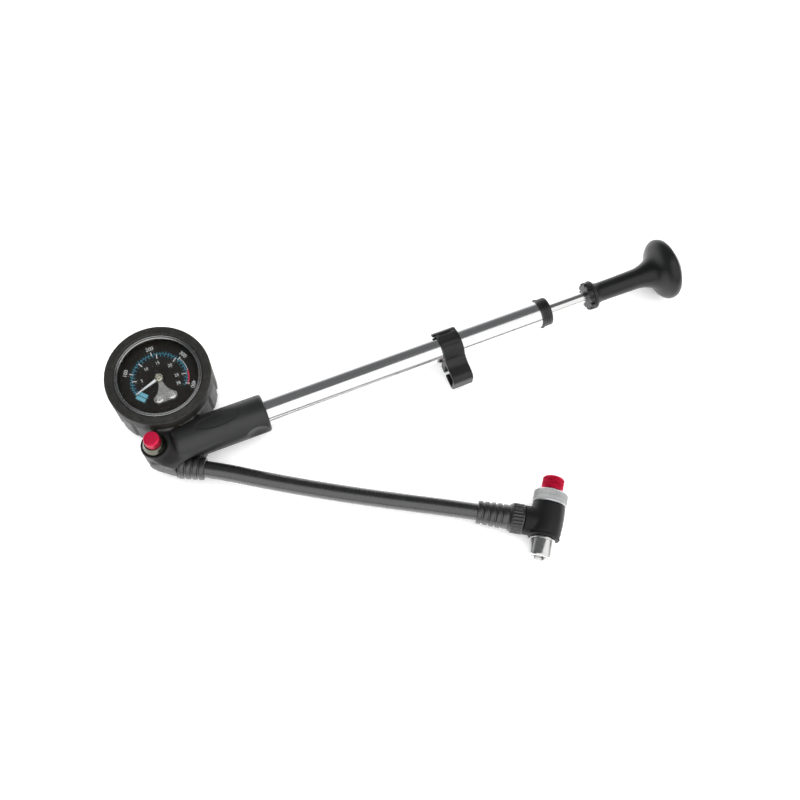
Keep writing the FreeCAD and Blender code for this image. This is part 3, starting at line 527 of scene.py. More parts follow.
def smoothed(made, rounds, group=""):
    """Mesh of an object with its modifiers and a smoothing pass applied; the object goes."""
    smooth = made.modifiers.new("smooth", "SMOOTH")
    smooth.factor = 0.5
    smooth.iterations = rounds
    smooth.vertex_group = group
    bpy.context.view_layer.update()
    mesh = bpy.data.meshes.new_from_object(made.evaluated_get(bpy.context.evaluated_depsgraph_get()))
    bpy.data.objects.remove(made)
    return mesh


def organic_copy(name, node, voxel, rounds, shape=None, melt=None):
    """Copy of a CAD node with soft edges.

    melt(point) is how far, from 0 to 1, the surface flows together there, and
    shape(point, normal) then moves each point. Both are in millimetres.
    """
    enlarged = NODES[node].data.copy()
    enlarged.transform(Matrix.Scale(1 / MM, 4))
    made = bpy.data.objects.new(name, enlarged)
    bpy.context.scene.collection.objects.link(made)
    remesh = made.modifiers.new("remesh", "REMESH")
    remesh.mode = "VOXEL"
    remesh.voxel_size = voxel
    mesh = smoothed(made, rounds)
    if melt:
        made = bpy.data.objects.new(name, mesh)
        bpy.context.scene.collection.objects.link(made)
        group = made.vertex_groups.new(name="melt")
        for vertex in mesh.vertices:
            group.add([vertex.index], melt(vertex.co), "REPLACE")
        mesh = smoothed(made, MELT_ROUNDS, "melt")
    mesh.name = name
    if shape:
        normals = [vertex.normal.copy() for vertex in mesh.vertices]
        for vertex, normal in zip(mesh.vertices, normals):
            vertex.co += shape(vertex.co.copy(), normal)
    mesh.transform(Matrix.Scale(MM, 4))
    return mesh


def flat_box(made, centre, along, length, width, low, high):
    """Thin bar of print in a bmesh, long way along a level direction."""
    along = Vector(along).normalized()
    across = Vector((-along.y, along.x, 0))
    corners = []
    for z in (low, high):
        for a, b in ((-1, -1), (1, -1), (1, 1), (-1, 1)):
            point = Vector(centre) + along * (a * length / 2) + across * (b * width / 2)
            corners.append(made.verts.new((point.x * MM, point.y * MM, z * MM)))
    made.faces.new(corners[3::-1])
    made.faces.new(corners[4:])
    for k in range(4):
        n = (k + 1) % 4
        made.faces.new((corners[k], corners[n], corners[4 + n], corners[4 + k]))


def finished(made, name):
    """Mesh from a bmesh."""
    bmesh.ops.recalc_face_normals(made, faces=made.faces)
    mesh = bpy.data.meshes.new(name)
    made.to_mesh(mesh)
    made.free()
    return mesh


# ---- hose ----
HOSE_R = 4.1
SLEEVE_BORE = HOSE_R + 0.06
# The hose's control points are in metres.
HOSE_ROUTE = [
    (-0.003251, -0.041170, 0.0120),
    (0.012055, -0.049654, 0.0120),
    (0.0315, -0.0624, 0.0110),
    (0.0590, -0.0791, 0.0099),
    (0.0870, -0.0949, 0.0091),
    (0.114587, -0.109953, 0.0083),
    (0.128229, -0.118313, 0.0083),
]
HEAD_EXIT = Vector(HOSE_ROUTE[0])
HEAD_EXIT_DIR = (Vector(HOSE_ROUTE[1]) - HEAD_EXIT).normalized()
BRANCH_DIR = (Vector(HOSE_ROUTE[-1]) - Vector(HOSE_ROUTE[-2])).normalized()


def make_hose(material):
    """Smooth high-pressure hose, one curve from nipple to nipple."""
    curve = bpy.data.curves.new("hose_line", "CURVE")
    curve.dimensions = "3D"
    curve.bevel_depth = HOSE_R * MM
    curve.bevel_resolution = 12
    curve.resolution_u = 24
    curve.use_fill_caps = True
    spline = curve.splines.new("NURBS")
    spline.points.add(len(HOSE_ROUTE) - 1)
    for point, place in zip(spline.points, HOSE_ROUTE):
        point.co = (*place, 1)
    spline.order_u = 3
    spline.use_endpoint_u = True
    curve.materials.append(material)
    piece = bpy.data.objects.new("hose_cover", curve)
    bpy.context.scene.collection.objects.link(piece)
    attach(piece, "pump_body")
    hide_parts("hose")
    return piece


def ribbed_sleeve(name, node, material, centre, axis, length, thin_r, thick_r, ribs, tail=0.0):
    """Rubber sleeve with slanted ribs that grow towards its thick end; tail is a plain band after them."""
    pitch = length / ribs
    corners = [(0, SLEEVE_BORE), (0, thin_r - 0.1, 0.2)]
    for k in range(ribs):
        base = thin_r + (thick_r - thin_r) * k / ribs
        step = k * pitch
        corners += [
            (step + 0.25, base + 0.22, 0.25), (step + pitch - 0.95, base + 0.4, 0.3),
            (step + pitch - 0.75, base - 0.25, 0.1), (step + pitch - 0.15, base - 0.25, 0.1),
        ]
    if tail:
        end = length + tail
        corners += [(length, thick_r + 0.05, 0.2), (end, thick_r + 0.1, 0.2), (end, SLEEVE_BORE)]
    else:
        corners += [(length, thick_r - 0.05, 0.15), (length, SLEEVE_BORE)]
    mesh = turned_mesh(name, soften(corners, 3), centre, axis, 96, closed=True)
    return new_object(name, mesh, material, "pump_body", 40, [node])


NUT_RIDGES = 26
NUT_RIDGE_DEPTH = 0.42


def make_nut(material):
    """Flared nut with lengthwise grip ridges."""
    low, high = -17.8, -10.6
    bore, outer = 3.0, 7.25
    corners = [
        (low, bore), (low, 6.2, 0.2), (low + 1.4, 7.1, 0.6), (low + 2.0, outer, 0.3),
        (high - 0.8, 7.3, 0.3), (high - 0.3, 7.2, 0.3), (high, 6.8, 0.2), (high, bore),
    ]
    rows = [(low + 2.0 + 0.4 * k, outer) for k in range(11)]
    profile = soften(corners[:4], 4) + [Vector(row) for row in rows] + soften(corners[4:], 4)

    def ridge(place, radius, angle):
        inside = smooth_step(place, low + 1.0, low + 1.9) * (1 - smooth_step(place, high - 1.3, high - 0.7))
        groove = (0.5 - 0.5 * math.cos(NUT_RIDGES * angle)) ** 2
        return -NUT_RIDGE_DEPTH * inside * groove if radius > 6 else 0.0

    mesh = turned_mesh("hose_nut_grip", profile, BRANCH, BRANCH_DIR, NUT_RIDGES * 12, ridge, True)
    return new_object("hose_nut_grip", mesh, material, "pump_body", 50, ["hose_nut"])


# ---- gauge ----
NOTCH_COUNT = 15
NOTCH_START = -6.0
NOTCH_DEPTH = 0.4
PANEL_RISE = 0.75
BACK_THICK = 2.3
CASE_SEAT_R = 22.6
INK_LOW = DIAL_TOP - 0.01
INK_HIGH = DIAL_TOP + 0.02
SCALE_R = 13.0
SCALE_ZERO = 209.5
DEGREES_PER_PSI = 0.6
PSI_PER_BAR = 14.5
PSI_MAX, BAR_MAX = 400, 28
POINTER_ANGLE = math.radians(199.0)
POINTER_HUB_R = 0.9
BLADE_THINNING = 0.45
NUMERAL_THINNING = 0.012
PSI_NUMERAL_R, PSI_NUMERAL_SIZE = 16.4, 2.6
BAR_NUMERAL_R, LAST_NUMERAL_R, BAR_NUMERAL_SIZE = 8.3, 9.4, 2.1
LIMIT_LINE_R = 13.9
BLOCK_PLACE = Vector((-10.4, -5.9, 0))
BLOCK_ALONG, BLOCK_ACROSS = Vector((0.7, -0.715, 0)), Vector((0.715, 0.7, 0))


def make_boot(material):
    """Rubber boot: fine rings on the front, raised grip panels between notches on the wall."""
    wall_r = GAUGE_R - 0.8
    corners = [
        (0, 0), (0, wall_r, 4.2), (23.1, wall_r, 0.3), (23.6, GAUGE_R, 0.35), (GAUGE_TOP, GAUGE_R, 1.9),
        (GAUGE_TOP - 0.02, 24.2), (GAUGE_TOP - 0.16, 24.1), (GAUGE_TOP - 0.16, 23.9),
    ]
    profile = soften(corners, 7)
    wall_rows = [Vector((4.4 + 0.35 * k, wall_r)) for k in range(53)]
    after_curve = next(i for i, p in enumerate(profile) if p.y > wall_r - 0.01)
    profile = profile[:after_curve + 1] + wall_rows + profile[after_curve + 1:]
    radius = 23.8
    while radius > 21.9:
        profile += [Vector((GAUGE_TOP - 0.02, radius)), Vector((GAUGE_TOP, radius - 0.12)),
                    Vector((GAUGE_TOP - 0.02, radius - 0.28)), Vector((GAUGE_TOP - 0.15, radius - 0.34))]
        radius -= 0.46
    profile += soften([
        (GAUGE_TOP - 0.1, 21.8), (LENS_TOP + 0.55, 20.95, 0.3), (LENS_TOP, 20.95), (LENS_TOP, CASE_SEAT_R),
        (BACK_THICK, CASE_SEAT_R), (BACK_THICK, 0),
    ], 3)

    def panel(place, radius, angle):
        if radius < wall_r - 0.6 or radius > wall_r + 0.1 or place > 23.2:
            return 0.0
        step = 2 * math.pi / NOTCH_COUNT
        turn = (angle - math.radians(NOTCH_START)) / step
        away = abs(turn - round(turn)) * step * wall_r
        tall = smooth_step(place, 4.6, 5.4) * (1 - smooth_step(place, 21.3, 22.1))
        cut = smooth_step(place, 3.4, 4.0) * (1 - smooth_step(place, 22.2, 22.6))
        rise = PANEL_RISE * tall * smooth_step(away, 1.0, 1.5)
        return rise - NOTCH_DEPTH * cut * (1 - smooth_step(away, 0.8, 1.1))

    mesh = turned_mesh("gauge_boot_skin", profile, ORIGIN, Z_AXIS, 720, panel)
    new_object("gauge_boot_skin", mesh, material, "pump_body", 50, ["gauge_boot"])


def make_bezel(material):
    """Two bright beads with a groove between them."""
    low = LENS_TOP
    corners = [
        (low, 19.0), (low + 0.55, 19.25, 0.2), (low + 0.75, 19.75, 0.25), (low + 0.3, 20.0, 0.1),
        (low + 0.85, 20.25, 0.2), (low + 0.85, 20.6, 0.2), (low + 0.5, 20.85, 0.1), (low, 20.9),
    ]
    mesh = turned_mesh("bezel_beads", soften(corners, 5), ORIGIN, Z_AXIS, 192, closed=True)
    new_object("bezel_beads", mesh, material, "pump_body", 50, ["bezel_ring"])


def dial_angle(pressure):
    """Angle in radians of a pressure in psi, clockwise from the scale's zero."""
    return math.radians(SCALE_ZERO - DEGREES_PER_PSI * pressure)


def on_dial(radius, angle):
    """Level point on the dial."""
    return Vector((radius * math.cos(angle), radius * math.sin(angle), 0))


def make_ticks(name, marks, material):
    """Printed bars from (pressure, inner radius, outer radius, width)."""
    made = bmesh.new()
    for pressure, inner, outer, width in marks:
        angle = dial_angle(pressure)
        centre = on_dial((inner + outer) / 2, angle)
        flat_box(made, centre, on_dial(1, angle), outer - inner, width, INK_LOW, INK_HIGH)
    new_object(name, finished(made, name), material, "pump_body")


def make_arc(name, radius, width, first, last, material, lift=0.0):
    """Printed arc between two pressures."""
    made = bmesh.new()
    steps = int(0.4 * (last - first))
    for k in range(steps):
        a, b = [dial_angle(first + (last - first) * (k + i) / steps) for i in (0, 1.02)]
        start, end = on_dial(radius, a), on_dial(radius, b)
        length = (end - start).length
        flat_box(made, (start + end) / 2, end - start, length, width, INK_LOW, INK_HIGH + lift)
    new_object(name, finished(made, name), material, "pump_body")


def make_numbers(material):
    """Plain numerals: the outer scale's stand outwards, and the inner scale's stand upright."""
    made = bmesh.new()
    labels = []
    for value in range(100, PSI_MAX + 1, 100):
        labels.append((dial_angle(value), PSI_NUMERAL_R, PSI_NUMERAL_SIZE, str(value), True))
    for value in (5, 10, 15, 20, 25, BAR_MAX):
        radius = LAST_NUMERAL_R if value == BAR_MAX else BAR_NUMERAL_R
        angle = dial_angle(value * PSI_PER_BAR)
        labels.append((angle, radius, BAR_NUMERAL_SIZE, str(value), False))
    for angle, radius, size, text, outwards in labels:
        curve = bpy.data.curves.new("number_" + text, "FONT")
        curve.body = text
        curve.size = size
        curve.align_x, curve.align_y = "CENTER", "CENTER"
        curve.extrude = (INK_HIGH - INK_LOW) / 2
        curve.offset = -NUMERAL_THINNING
        shown = bpy.data.objects.new("number_" + text, curve)
        bpy.context.scene.collection.objects.link(shown)
        bpy.context.view_layer.update()
        graph = bpy.context.evaluated_depsgraph_get()
        mesh = bpy.data.meshes.new_from_object(shown.evaluated_get(graph))
        turn = Matrix.Rotation(angle - math.pi / 2 if outwards else 0.0, 4, "Z")
        lift = on_dial(radius, angle) + Vector((0, 0, (INK_LOW + INK_HIGH) / 2))
        mesh.transform(Matrix.Scale(MM, 4) @ Matrix.Translation(lift) @ turn)
        made.from_mesh(mesh)
        bpy.data.objects.remove(shown)
        bpy.data.meshes.remove(mesh)
    mesh = finished(made, "dial_numbers")
    new_object("dial_numbers", mesh, material, "pump_body", 30)


def make_dial(finishes):
    """All the printing on the dial."""
    white, blue = [], []
    for value in range(20, PSI_MAX + 1, 10):
        if value % 100 == 0:
            white.append((value, 12.6, 14.6, 0.4))
        else:
            blue.append((value, SCALE_R + 0.1, 14.3 if value % 50 == 0 else 13.9, 0.3))
    for value in range(1, BAR_MAX + 1):
        if value % 5 == 0:
            white.append((value * PSI_PER_BAR, 10.7, SCALE_R, 0.38))
        else:
            blue.append((value * PSI_PER_BAR, 11.6, SCALE_R - 0.1, 0.3))
    make_ticks("dial_white_ticks", white, finishes["white_ink"])
    make_ticks("dial_blue_ticks", blue, finishes["blue_ink"])
    make_arc("dial_blue_line", SCALE_R, 0.22, 14, PSI_MAX, finishes["blue_ink"])
    make_arc("dial_white_line", LIMIT_LINE_R, 0.2, 300, 350, finishes["white_ink"])
    make_arc("dial_red_line", LIMIT_LINE_R, 0.5, 350, PSI_MAX, finishes["red_ink"], 0.005)
    make_numbers(finishes["white_ink"])
    block = bmesh.new()
    for side in (1.1, -1.1):
        centre = BLOCK_PLACE + BLOCK_ACROSS * side
        flat_box(block, centre, BLOCK_ALONG, 4.8, 1.8, INK_LOW, INK_HIGH)
    mesh = finished(block, "dial_block")
    new_object("dial_block", mesh, finishes["pale_blue_ink"], "pump_body")


def make_pointer(material):
    """Pointer whose blade is slimmer than the simple CAD one."""
    mesh = NODES["pointer"].data.copy()
    mesh.name = "pointer_blade"
    along = on_dial(1, POINTER_ANGLE)
    across = on_dial(1, POINTER_ANGLE + math.pi / 2)
    for vertex in mesh.vertices:
        if vertex.co.dot(along) > POINTER_HUB_R * MM:
            vertex.co -= across * (vertex.co.dot(across) * BLADE_THINNING)
    new_object("pointer_blade", mesh, material, "needle", 35, ["pointer"])


def make_pointer_cap(material):
    """Turned cap on the pointer's hub."""
    top = span("pointer", 2)[1]
    corners = [
        (top - 1.35, 0), (top - 1.35, 2.0, 0.1), (top - 0.2, 2.0, 0.3), (top + 0.02, 1.5, 0.2),
        (top + 0.02, 0.7, 0.1), (top + 0.4, 0.6, 0.15), (top + 0.45, 0),
    ]
    mesh = turned_mesh("pointer_cap", soften(corners, 5), ORIGIN, Z_AXIS, 64)
    new_object("pointer_cap", mesh, material, "needle")


# ---- head and button ----
EMBOSS_X, EMBOSS_AROUND = 19.0, 1.6
EMBOSS_HALF_X, EMBOSS_HALF_AROUND = 11.5, 3.8
EMBOSS_DEPTH = 0.34
SOCKET_R = 9.4
HEEL = Vector((-15.9, -36.9, 8))
HEEL_OUT = Vector((-0.62, -0.78, 0)).normalized()
HEEL_CUT = 0.85
HEEL_X, HEEL_Y = -2, -30


def head_detail(point, normal):
    """Hose outlet's heel cut back to a slant, and an oval panel moulded into the top of the socket."""
    beyond = (point - HEEL).dot(HEEL_OUT)
    if beyond > 0 and point.x < HEEL_X and point.y < HEEL_Y:
        inside = smooth_step(HEEL_X - point.x, 0, 4) * smooth_step(HEEL_Y - point.y, 0, 4)
        return HEEL_OUT * (-HEEL_CUT * beyond * inside)
    if normal.z < 0.1 or point.x < EMBOSS_X - 2 * EMBOSS_HALF_X:
        return ORIGIN
    around = math.atan2(point.y - BARREL.y, point.z - BARREL.z) * SOCKET_R
    across = (point.x - EMBOSS_X) / EMBOSS_HALF_X
    reach = math.hypot(across, (around - EMBOSS_AROUND) / EMBOSS_HALF_AROUND)
    return normal * (-EMBOSS_DEPTH * (1 - smooth_step(reach, 0.86, 1.0)))


def head_melt(point):
    """Where the button's column flows into the barrel socket."""
    from_button = math.hypot(point.x - BUTTON.x, point.y - BUTTON.y)
    along = 1 - smooth_step(point.x, 3.0, 9.0)
    return smooth_step(from_button, 7.2, 9.0) * along * smooth_step(point.z, 10.0, 13.0)


def make_head(material):
    """Moulded head, its button column flowing into the barrel socket."""
    mesh = organic_copy("head_moulding", "head_body", voxel=0.36, rounds=10, shape=head_detail,
                        melt=head_melt)
    new_object("head_moulding", mesh, material, "pump_body", 60, ["head_body"])


def make_button(finishes):
    """Anodised button with a fine groove, in a dark polished collar."""
    low, top = span("bleed_button", 2)
    radius = half_span("bleed_button", 0)
    corners = [
        (low, 0), (low, radius), (top - 1.75, radius, 0.05), (top - 1.7, radius - 0.12, 0.05),
        (top - 1.55, radius, 0.05), (top - 0.35, radius - 0.1, 0.9), (top - 0.05, radius - 1.4, 0.6),
        (top, 0),
    ]
    centre = Vector((BUTTON.x, BUTTON.y, 0))
    mesh = turned_mesh("button_cap", soften(corners, 6), centre, Z_AXIS, 96)
    new_object("button_cap", mesh, finishes["button"], "button", 50, ["bleed_button"])
    base, rim = span("button_collar", 2)
    outer = half_span("button_collar", 0)
    inner = radius + 0.2
    corners = [
        (base, inner), (base, outer, 0.1), (base + 1.5, outer, 0.5), (rim - 0.5, inner + 0.55, 1.2),
        (rim, inner + 0.3, 0.2), (rim, inner),
    ]
    mesh = turned_mesh("collar_dome", soften(corners, 8), centre, Z_AXIS, 96, closed=True)
    new_object("collar_dome", mesh, finishes["collar"], "pump_body", 50, ["button_collar"])


# ---- barrel, rod, clip and handle ----
BARREL_WALL = 1.4
CAP_GROOVE = 0.25


def make_barrel(finishes):
    """Polished barrel with broken edges, its grooved cap, and the rod."""
    bore = BARREL_R - BARREL_WALL
    corners = [
        (BARREL_LOW, bore), (BARREL_LOW, BARREL_R, 0.2), (BARREL_HIGH, BARREL_R, 0.2), (BARREL_HIGH, bore),
    ]
    mesh = turned_mesh("barrel_tube", soften(corners, 4), BARREL, X_AXIS, 256, closed=True)
    new_object("barrel_tube", mesh, finishes["barrel"], "pump_body", 40, ["barrel"])
    low, high = span("barrel_cap", 0)
    lip, body = 7.6, 7.15
    corners = [(low, BARREL_R + 0.01), (low, lip, 0.12), (low + 0.65, lip, 0.12), (low + 0.75, body, 0.05)]
    floor = body - CAP_GROOVE
    for groove in (low + 1.6, low + 2.9):
        corners += [
            (groove, body, 0.08), (groove + 0.12, floor, 0.06), (groove + 0.3, floor, 0.06),
            (groove + 0.42, body, 0.08),
        ]
    corners += [
        (high, body, 0.7), (high, ROD_R + 0.3, 0.2), (high - 0.9, ROD_R + 0.3), (high - 0.9, 4.0),
        (BARREL_HIGH, 4.0), (BARREL_HIGH, BARREL_R + 0.01),
    ]
    mesh = turned_mesh("barrel_end_cap", soften(corners, 4), BARREL, X_AXIS, 144, closed=True)
    new_object("barrel_end_cap", mesh, finishes["cap"], "pump_body", 50, ["barrel_cap"])
    low, high = span("rod", 0)
    corners = [(low, 0), (low, ROD_R, 0.2), (high, ROD_R, 0.2), (high, 0)]
    mesh = turned_mesh("rod_bar", soften(corners, 4), BARREL, X_AXIS, 144)
    new_object("rod_bar", mesh, finishes["rod"], "plunger", 40, ["rod"])


# Ribs and slot are at angles in degrees round the barrel, from the top towards +Y.
CLIP_LOW, CLIP_HIGH = span("hose_clip", 0)
CLIP_CROWN_R = 7.6
RIB_ANGLES = (10, -6, -22, -38)
RIB_RISE, RIB_HALF_ANGLE = 0.13, 4.5
SLOT_ANGLE, SLOT_DEPTH = 36, 0.45
SLOT_HALF_ANGLE, SLOT_HALF_X = 8, 3.4


def clip_detail(point, normal):
    """Grip ribs across the strap's crown and a shallow slot in its tab."""
    out = Vector((0, point.y - BARREL.y, point.z - BARREL.z))
    if out.length <= CLIP_CROWN_R or normal.z <= 0.2 or out.y <= -8:
        return ORIGIN
    around = math.degrees(math.atan2(out.y, out.z))
    moved = 0.0
    for centre in RIB_ANGLES:
        moved += RIB_RISE * (1 - smooth_step(abs(around - centre), 0.0, RIB_HALF_ANGLE))
    across = abs(point.x - (CLIP_LOW + CLIP_HIGH) / 2) / SLOT_HALF_X
    slot = max(abs(around - SLOT_ANGLE) / SLOT_HALF_ANGLE, across)
    moved -= SLOT_DEPTH * (1 - smooth_step(slot, 0.8, 1.0))
    low_edge = smooth_step(point.x, CLIP_LOW + 1.4, CLIP_LOW + 2.2)
    high_edge = 1 - smooth_step(point.x, CLIP_HIGH - 2.2, CLIP_HIGH - 1.4)
    return normal * (moved * low_edge * high_edge)


def make_clip(material):
    """Moulded strap with its hose pocket."""
    mesh = organic_copy("clip_strap", "hose_clip", voxel=0.2, rounds=12, shape=clip_detail)
    new_object("clip_strap", mesh, material, "clip", 60, ["hose_clip"])


COLLAR_SLOTS = 12
COLLAR_SLOT_DEPTH = 1.1


def make_handle(finishes):
    """Castellated collar, slim neck and flared palm knob."""
    low, high = span("handle_collar", 0)
    radius = half_span("handle_collar", 2)
    bore = ROD_R + 0.06
    corners = [
        (low, bore), (low, radius - 0.2, 0.35), (low + 1.9, radius - 0.1, 0.3),
        (low + 2.1, radius - 0.7, 0.1), (low + 2.5, radius - 0.7, 0.1), (low + 2.8, radius, 0.4),
        (low + 4.0, radius, 0.5), (high, radius - 1.0, 0.2), (high, bore),
    ]
    profile = soften(corners[:3], 4)
    profile += [Vector((low + 1.9 - 0.01 * k, radius - 0.1)) for k in (4, 3, 2)]
    profile += soften(corners[3:], 4)

    def castle(place, r, angle):
        if place > low + 1.95 or r < radius - 1.2:
            return 0.0
        gap = 0.5 + 0.5 * math.cos(COLLAR_SLOTS * angle)
        return -COLLAR_SLOT_DEPTH * smooth_step(gap, 0.62, 0.82)

    mesh = turned_mesh("handle_castle", profile, BARREL, X_AXIS, 360, castle, True)
    new_object("handle_castle", mesh, finishes["cap"], "plunger", 45, ["handle_collar"])

    neck = high
    rim = half_span("handle", 2)
    end = span("handle", 0)[1]
    corners = [
        (neck, ROD_R + 0.1), (neck, 5.9, 0.3), (neck + 2.4, 4.95, 2.5), (neck + 14, 5.0, 6),
        (neck + 26.5, 5.3, 7), (neck + 33.0, 8.0, 6), (neck + 36.2, rim - 2.2, 3.4),
        (neck + 38.8, rim, 2.0), (neck + 42.0, rim - 0.6, 3.4), (end - 0.3, rim * 0.5, 6), (end, 4.4),
        (end, 0),
    ]
    mesh = turned_mesh("handle_knob", soften(corners, 14), BARREL, X_AXIS, 192)
    replaced = ["handle", "handle_plug"]
    new_object("handle_knob", mesh, finishes["handle"], "plunger", 60, replaced)


# ---- chuck ----
# Knurls: how many round the piece, how deep, and how far they turn per millimetre, in radians.
RING_KNURLS, RING_KNURL_DEPTH, RING_KNURL_LEAD = 64, 0.34, 0.05
KNOB_KNURLS, KNOB_KNURL_DEPTH, KNOB_KNURL_LEAD = 30, 0.5, 0.19
KNURL_STEP = 0.13


def knurl(place, angle, teeth, lead):
    """Height from 0 to 1 of crossed knurling."""
    first = abs((teeth * (angle + lead * place) / (2 * math.pi)) % 1 - 0.5) * 2
    second = abs((teeth * (angle - lead * place) / (2 * math.pi)) % 1 - 0.5) * 2
    return min(first, second)


def knurled_rows(low, high, radius):
    """Closely spaced profile rows for a knurled band."""
    count = int((high - low) / KNURL_STEP)
    return [Vector((low + (high - low) * k / count, radius)) for k in range(count + 1)]


def make_ring(material):
    """Bright ring with fine crossed knurling between two chamfers."""
    low, high = 10.2, 16.4
    bore, radius = 4.62, 8.25
    profile = [Vector((low, bore)), Vector((low, 7.8)), Vector((low + 0.55, radius - 0.05))]
    profile += knurled_rows(low + 0.75, high - 0.95, radius)
    profile += [Vector((high - 0.8, radius - 0.1)), Vector((high - 0.1, 7.4)), Vector((high, 7.2))]
    profile.append(Vector((high, bore)))

    def teeth(place, r, angle):
        band = smooth_step(place, low + 0.6, low + 0.8) * (1 - smooth_step(place, high - 1.0, high - 0.9))
        height = knurl(place, angle, RING_KNURLS, RING_KNURL_LEAD)
        return -RING_KNURL_DEPTH * (1 - height) * band if r > 8 else 0.0

    mesh = turned_mesh("ring_knurl", profile, CHUCK, KNOB_DIR, RING_KNURLS * 10, teeth, True)
    return new_object("ring_knurl", mesh, material, "nozzle", 20, ["knurled_ring"])


def make_knob(material):
    """Red knob with crossed knurling and a plain base rim."""
    low, high = 17.3, 24.1
    radius = 5.3
    stem_low, stem_r = 8.2, 2.5
    base = [
        (stem_low, 0), (stem_low, stem_r), (low, stem_r), (low, 5.0), (low + 0.2, radius),
        (low + 0.6, radius), (low + 0.75, radius - 0.3),
    ]
    crown = [
        (high - 1.2, radius - 0.05), (high - 0.3, radius - 0.5, 0.6), (high, radius - 1.6, 0.6), (high, 0),
    ]
    profile = [Vector(point) for point in base]
    profile += knurled_rows(low + 0.9, high - 1.3, radius) + soften(crown, 5)

    def teeth(place, r, angle):
        band = smooth_step(place, low + 0.8, low + 0.95) * (1 - smooth_step(place, high - 1.4, high - 1.25))
        height = knurl(place, angle, KNOB_KNURLS, KNOB_KNURL_LEAD)
        return -KNOB_KNURL_DEPTH * (1 - height) * band if r > 5 else 0.0

    mesh = turned_mesh("knob_knurl", profile, CHUCK, KNOB_DIR, KNOB_KNURLS * 12, teeth)
    return new_object("knob_knurl", mesh, material, "knob", 20, ["core_knob"])


def make_nozzle(material):
    """Turned nozzle with a rolled lip and a threaded mouth."""
    low, seal_low, seal_high, shoulder, top = -16.4, -8.9, -6.9, -7.0, 15.8
    thread_r, seal_r, shank_r, outer = 3.85, 4.2, 4.6, 6.0
    pitch, thread_depth = 0.79, 0.35
    stem_floor, stem_bore, pin_bore = 7.0, 2.6, 1.3
    groove = outer - 0.15
    corners = [
        (low + 0.7, thread_r - 0.1), (low + 0.15, thread_r + 0.35, 0.3), (low, 4.7, 0.25),
        (low + 0.15, outer - 0.35, 0.3), (low + 0.7, outer, 0.3), (shoulder - 1.3, outer, 0.1),
        (shoulder - 1.2, groove, 0.05), (shoulder - 0.9, groove, 0.05), (shoulder - 0.8, outer, 0.1),
        (shoulder, outer, 0.15), (shoulder, shank_r), (top, shank_r), (top, stem_bore),
        (stem_floor, stem_bore), (stem_floor, pin_bore), (seal_high, pin_bore), (seal_high, seal_r),
        (seal_low, seal_r),
    ]
    profile = soften(corners, 4)
    turns = int((seal_low - low - 0.9) / pitch)
    for k in range(turns, 0, -1):
        start = low + 0.7 + pitch * k
        profile += [Vector((start, thread_r)), Vector((start - pitch / 2, thread_r - thread_depth))]
    mesh = turned_mesh("nozzle_spindle", profile, CHUCK, KNOB_DIR, 144, closed=True)
    return new_object("nozzle_spindle", mesh, material, "nozzle", 40, ["nozzle"])


ELBOW_LOW = -6.8
LIP_RISE = 0.3


def elbow_detail(point, normal):
    """Raised lip round the elbow's low end, with a groove behind it."""
    if abs(normal.dot(KNOB_DIR)) > 0.6:
        return ORIGIN
    place = (point - CHUCK).dot(KNOB_DIR) - ELBOW_LOW
    lip = 1 - smooth_step(place, 0.9, 1.3)
    groove = smooth_step(place, 1.1, 1.5) * (1 - smooth_step(place, 1.8, 2.3))
    reach = (point - CHUCK - KNOB_DIR * (place + ELBOW_LOW)).length
    return normal * (LIP_RISE * (lip - groove) * smooth_step(reach, 6.6, 7.0))


def make_chuck_body(material):
    """Elbow body with its branch blended in."""
    mesh = organic_copy("elbow_body", "chuck_body", voxel=0.24, rounds=8, shape=elbow_detail)
    return new_object("elbow_body", mesh, material, "pump_body", 60, ["chuck_body"])


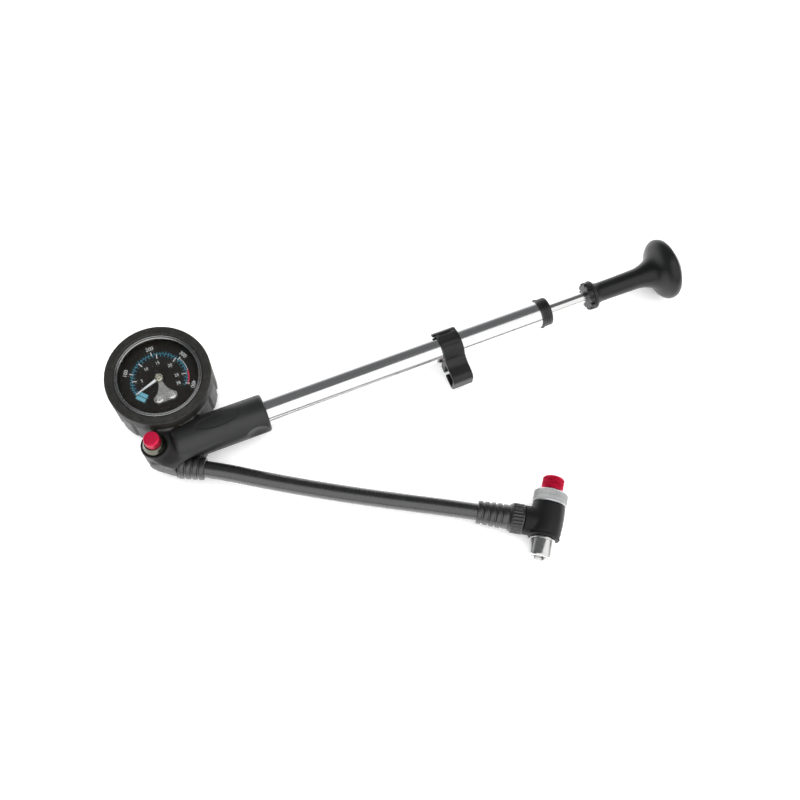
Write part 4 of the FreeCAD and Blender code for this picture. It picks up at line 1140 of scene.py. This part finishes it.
# ---- CAD pieces that keep their shape ----
KEPT = {
    "case": ["gauge_case"],
    "dial": ["dial_plate"],
    "seal": ["lens_gasket", "stem_gasket", "barrel_seal", "rod_wiper", "check_disc", "bleed_seal",
             "nozzle_seal", "nozzle_o_rings", "piston_cup", "piston_o_ring", "bumper"],
    "plate": ["movement_plate"],
    "screw": ["plate_screws", "bleed_pin", "handle_screw", "piston_screw", "plunger_pin"],
    "brass": ["movement_base", "bourdon_tube", "gauge_stem", "pointer_shaft", "sector_gear", "bleed_plug",
              "valve_seat", "piston", "head_nipple", "chuck_nipple"],
    "spring": ["bleed_spring"],
    "bush": ["rod_bush"],
    "lens": ["lens"],
}


def dress_nodes(finishes):
    """Give every CAD piece that stays its finish."""
    for finish, names in KEPT.items():
        for name in names:
            for material_slot in NODES[name].material_slots:
                material_slot.link = "OBJECT"
                material_slot.material = finishes[finish]


# ---- the pump ----
HEAD_SLEEVE_END = HEAD_EXIT / MM + HEAD_EXIT_DIR * 10.4
CHUCK_SLEEVE_END = BRANCH - BRANCH_DIR * 33.0

make_camera()
finishes = make_materials()
hose = make_hose(finishes["hose"])
make_studio()
head_sleeve = ribbed_sleeve("head_sleeve", "head_boot", finishes["sleeve"], HEAD_SLEEVE_END, -HEAD_EXIT_DIR,
                            length=12.4, thin_r=5.2, thick_r=6.0, ribs=4)
chuck_sleeve = ribbed_sleeve("chuck_sleeve", "chuck_boot", finishes["sleeve"], CHUCK_SLEEVE_END, BRANCH_DIR,
                             length=12.2, thin_r=5.3, thick_r=5.8, ribs=4, tail=3.0)
nut = make_nut(finishes["nut"])
make_boot(finishes["boot"])
make_bezel(finishes["bezel"])
make_dial(finishes)
make_pointer(finishes["pointer"])
make_pointer_cap(finishes["hub"])
make_head(finishes["head"])
make_button(finishes)
make_barrel(finishes)
make_clip(finishes["clip"])
make_handle(finishes)
elbow = make_chuck_body(finishes["chuck"])
ring = make_ring(finishes["ring"])
knob = make_knob(finishes["knob"])
spindle = make_nozzle(finishes["nozzle"])
dress_nodes(finishes)
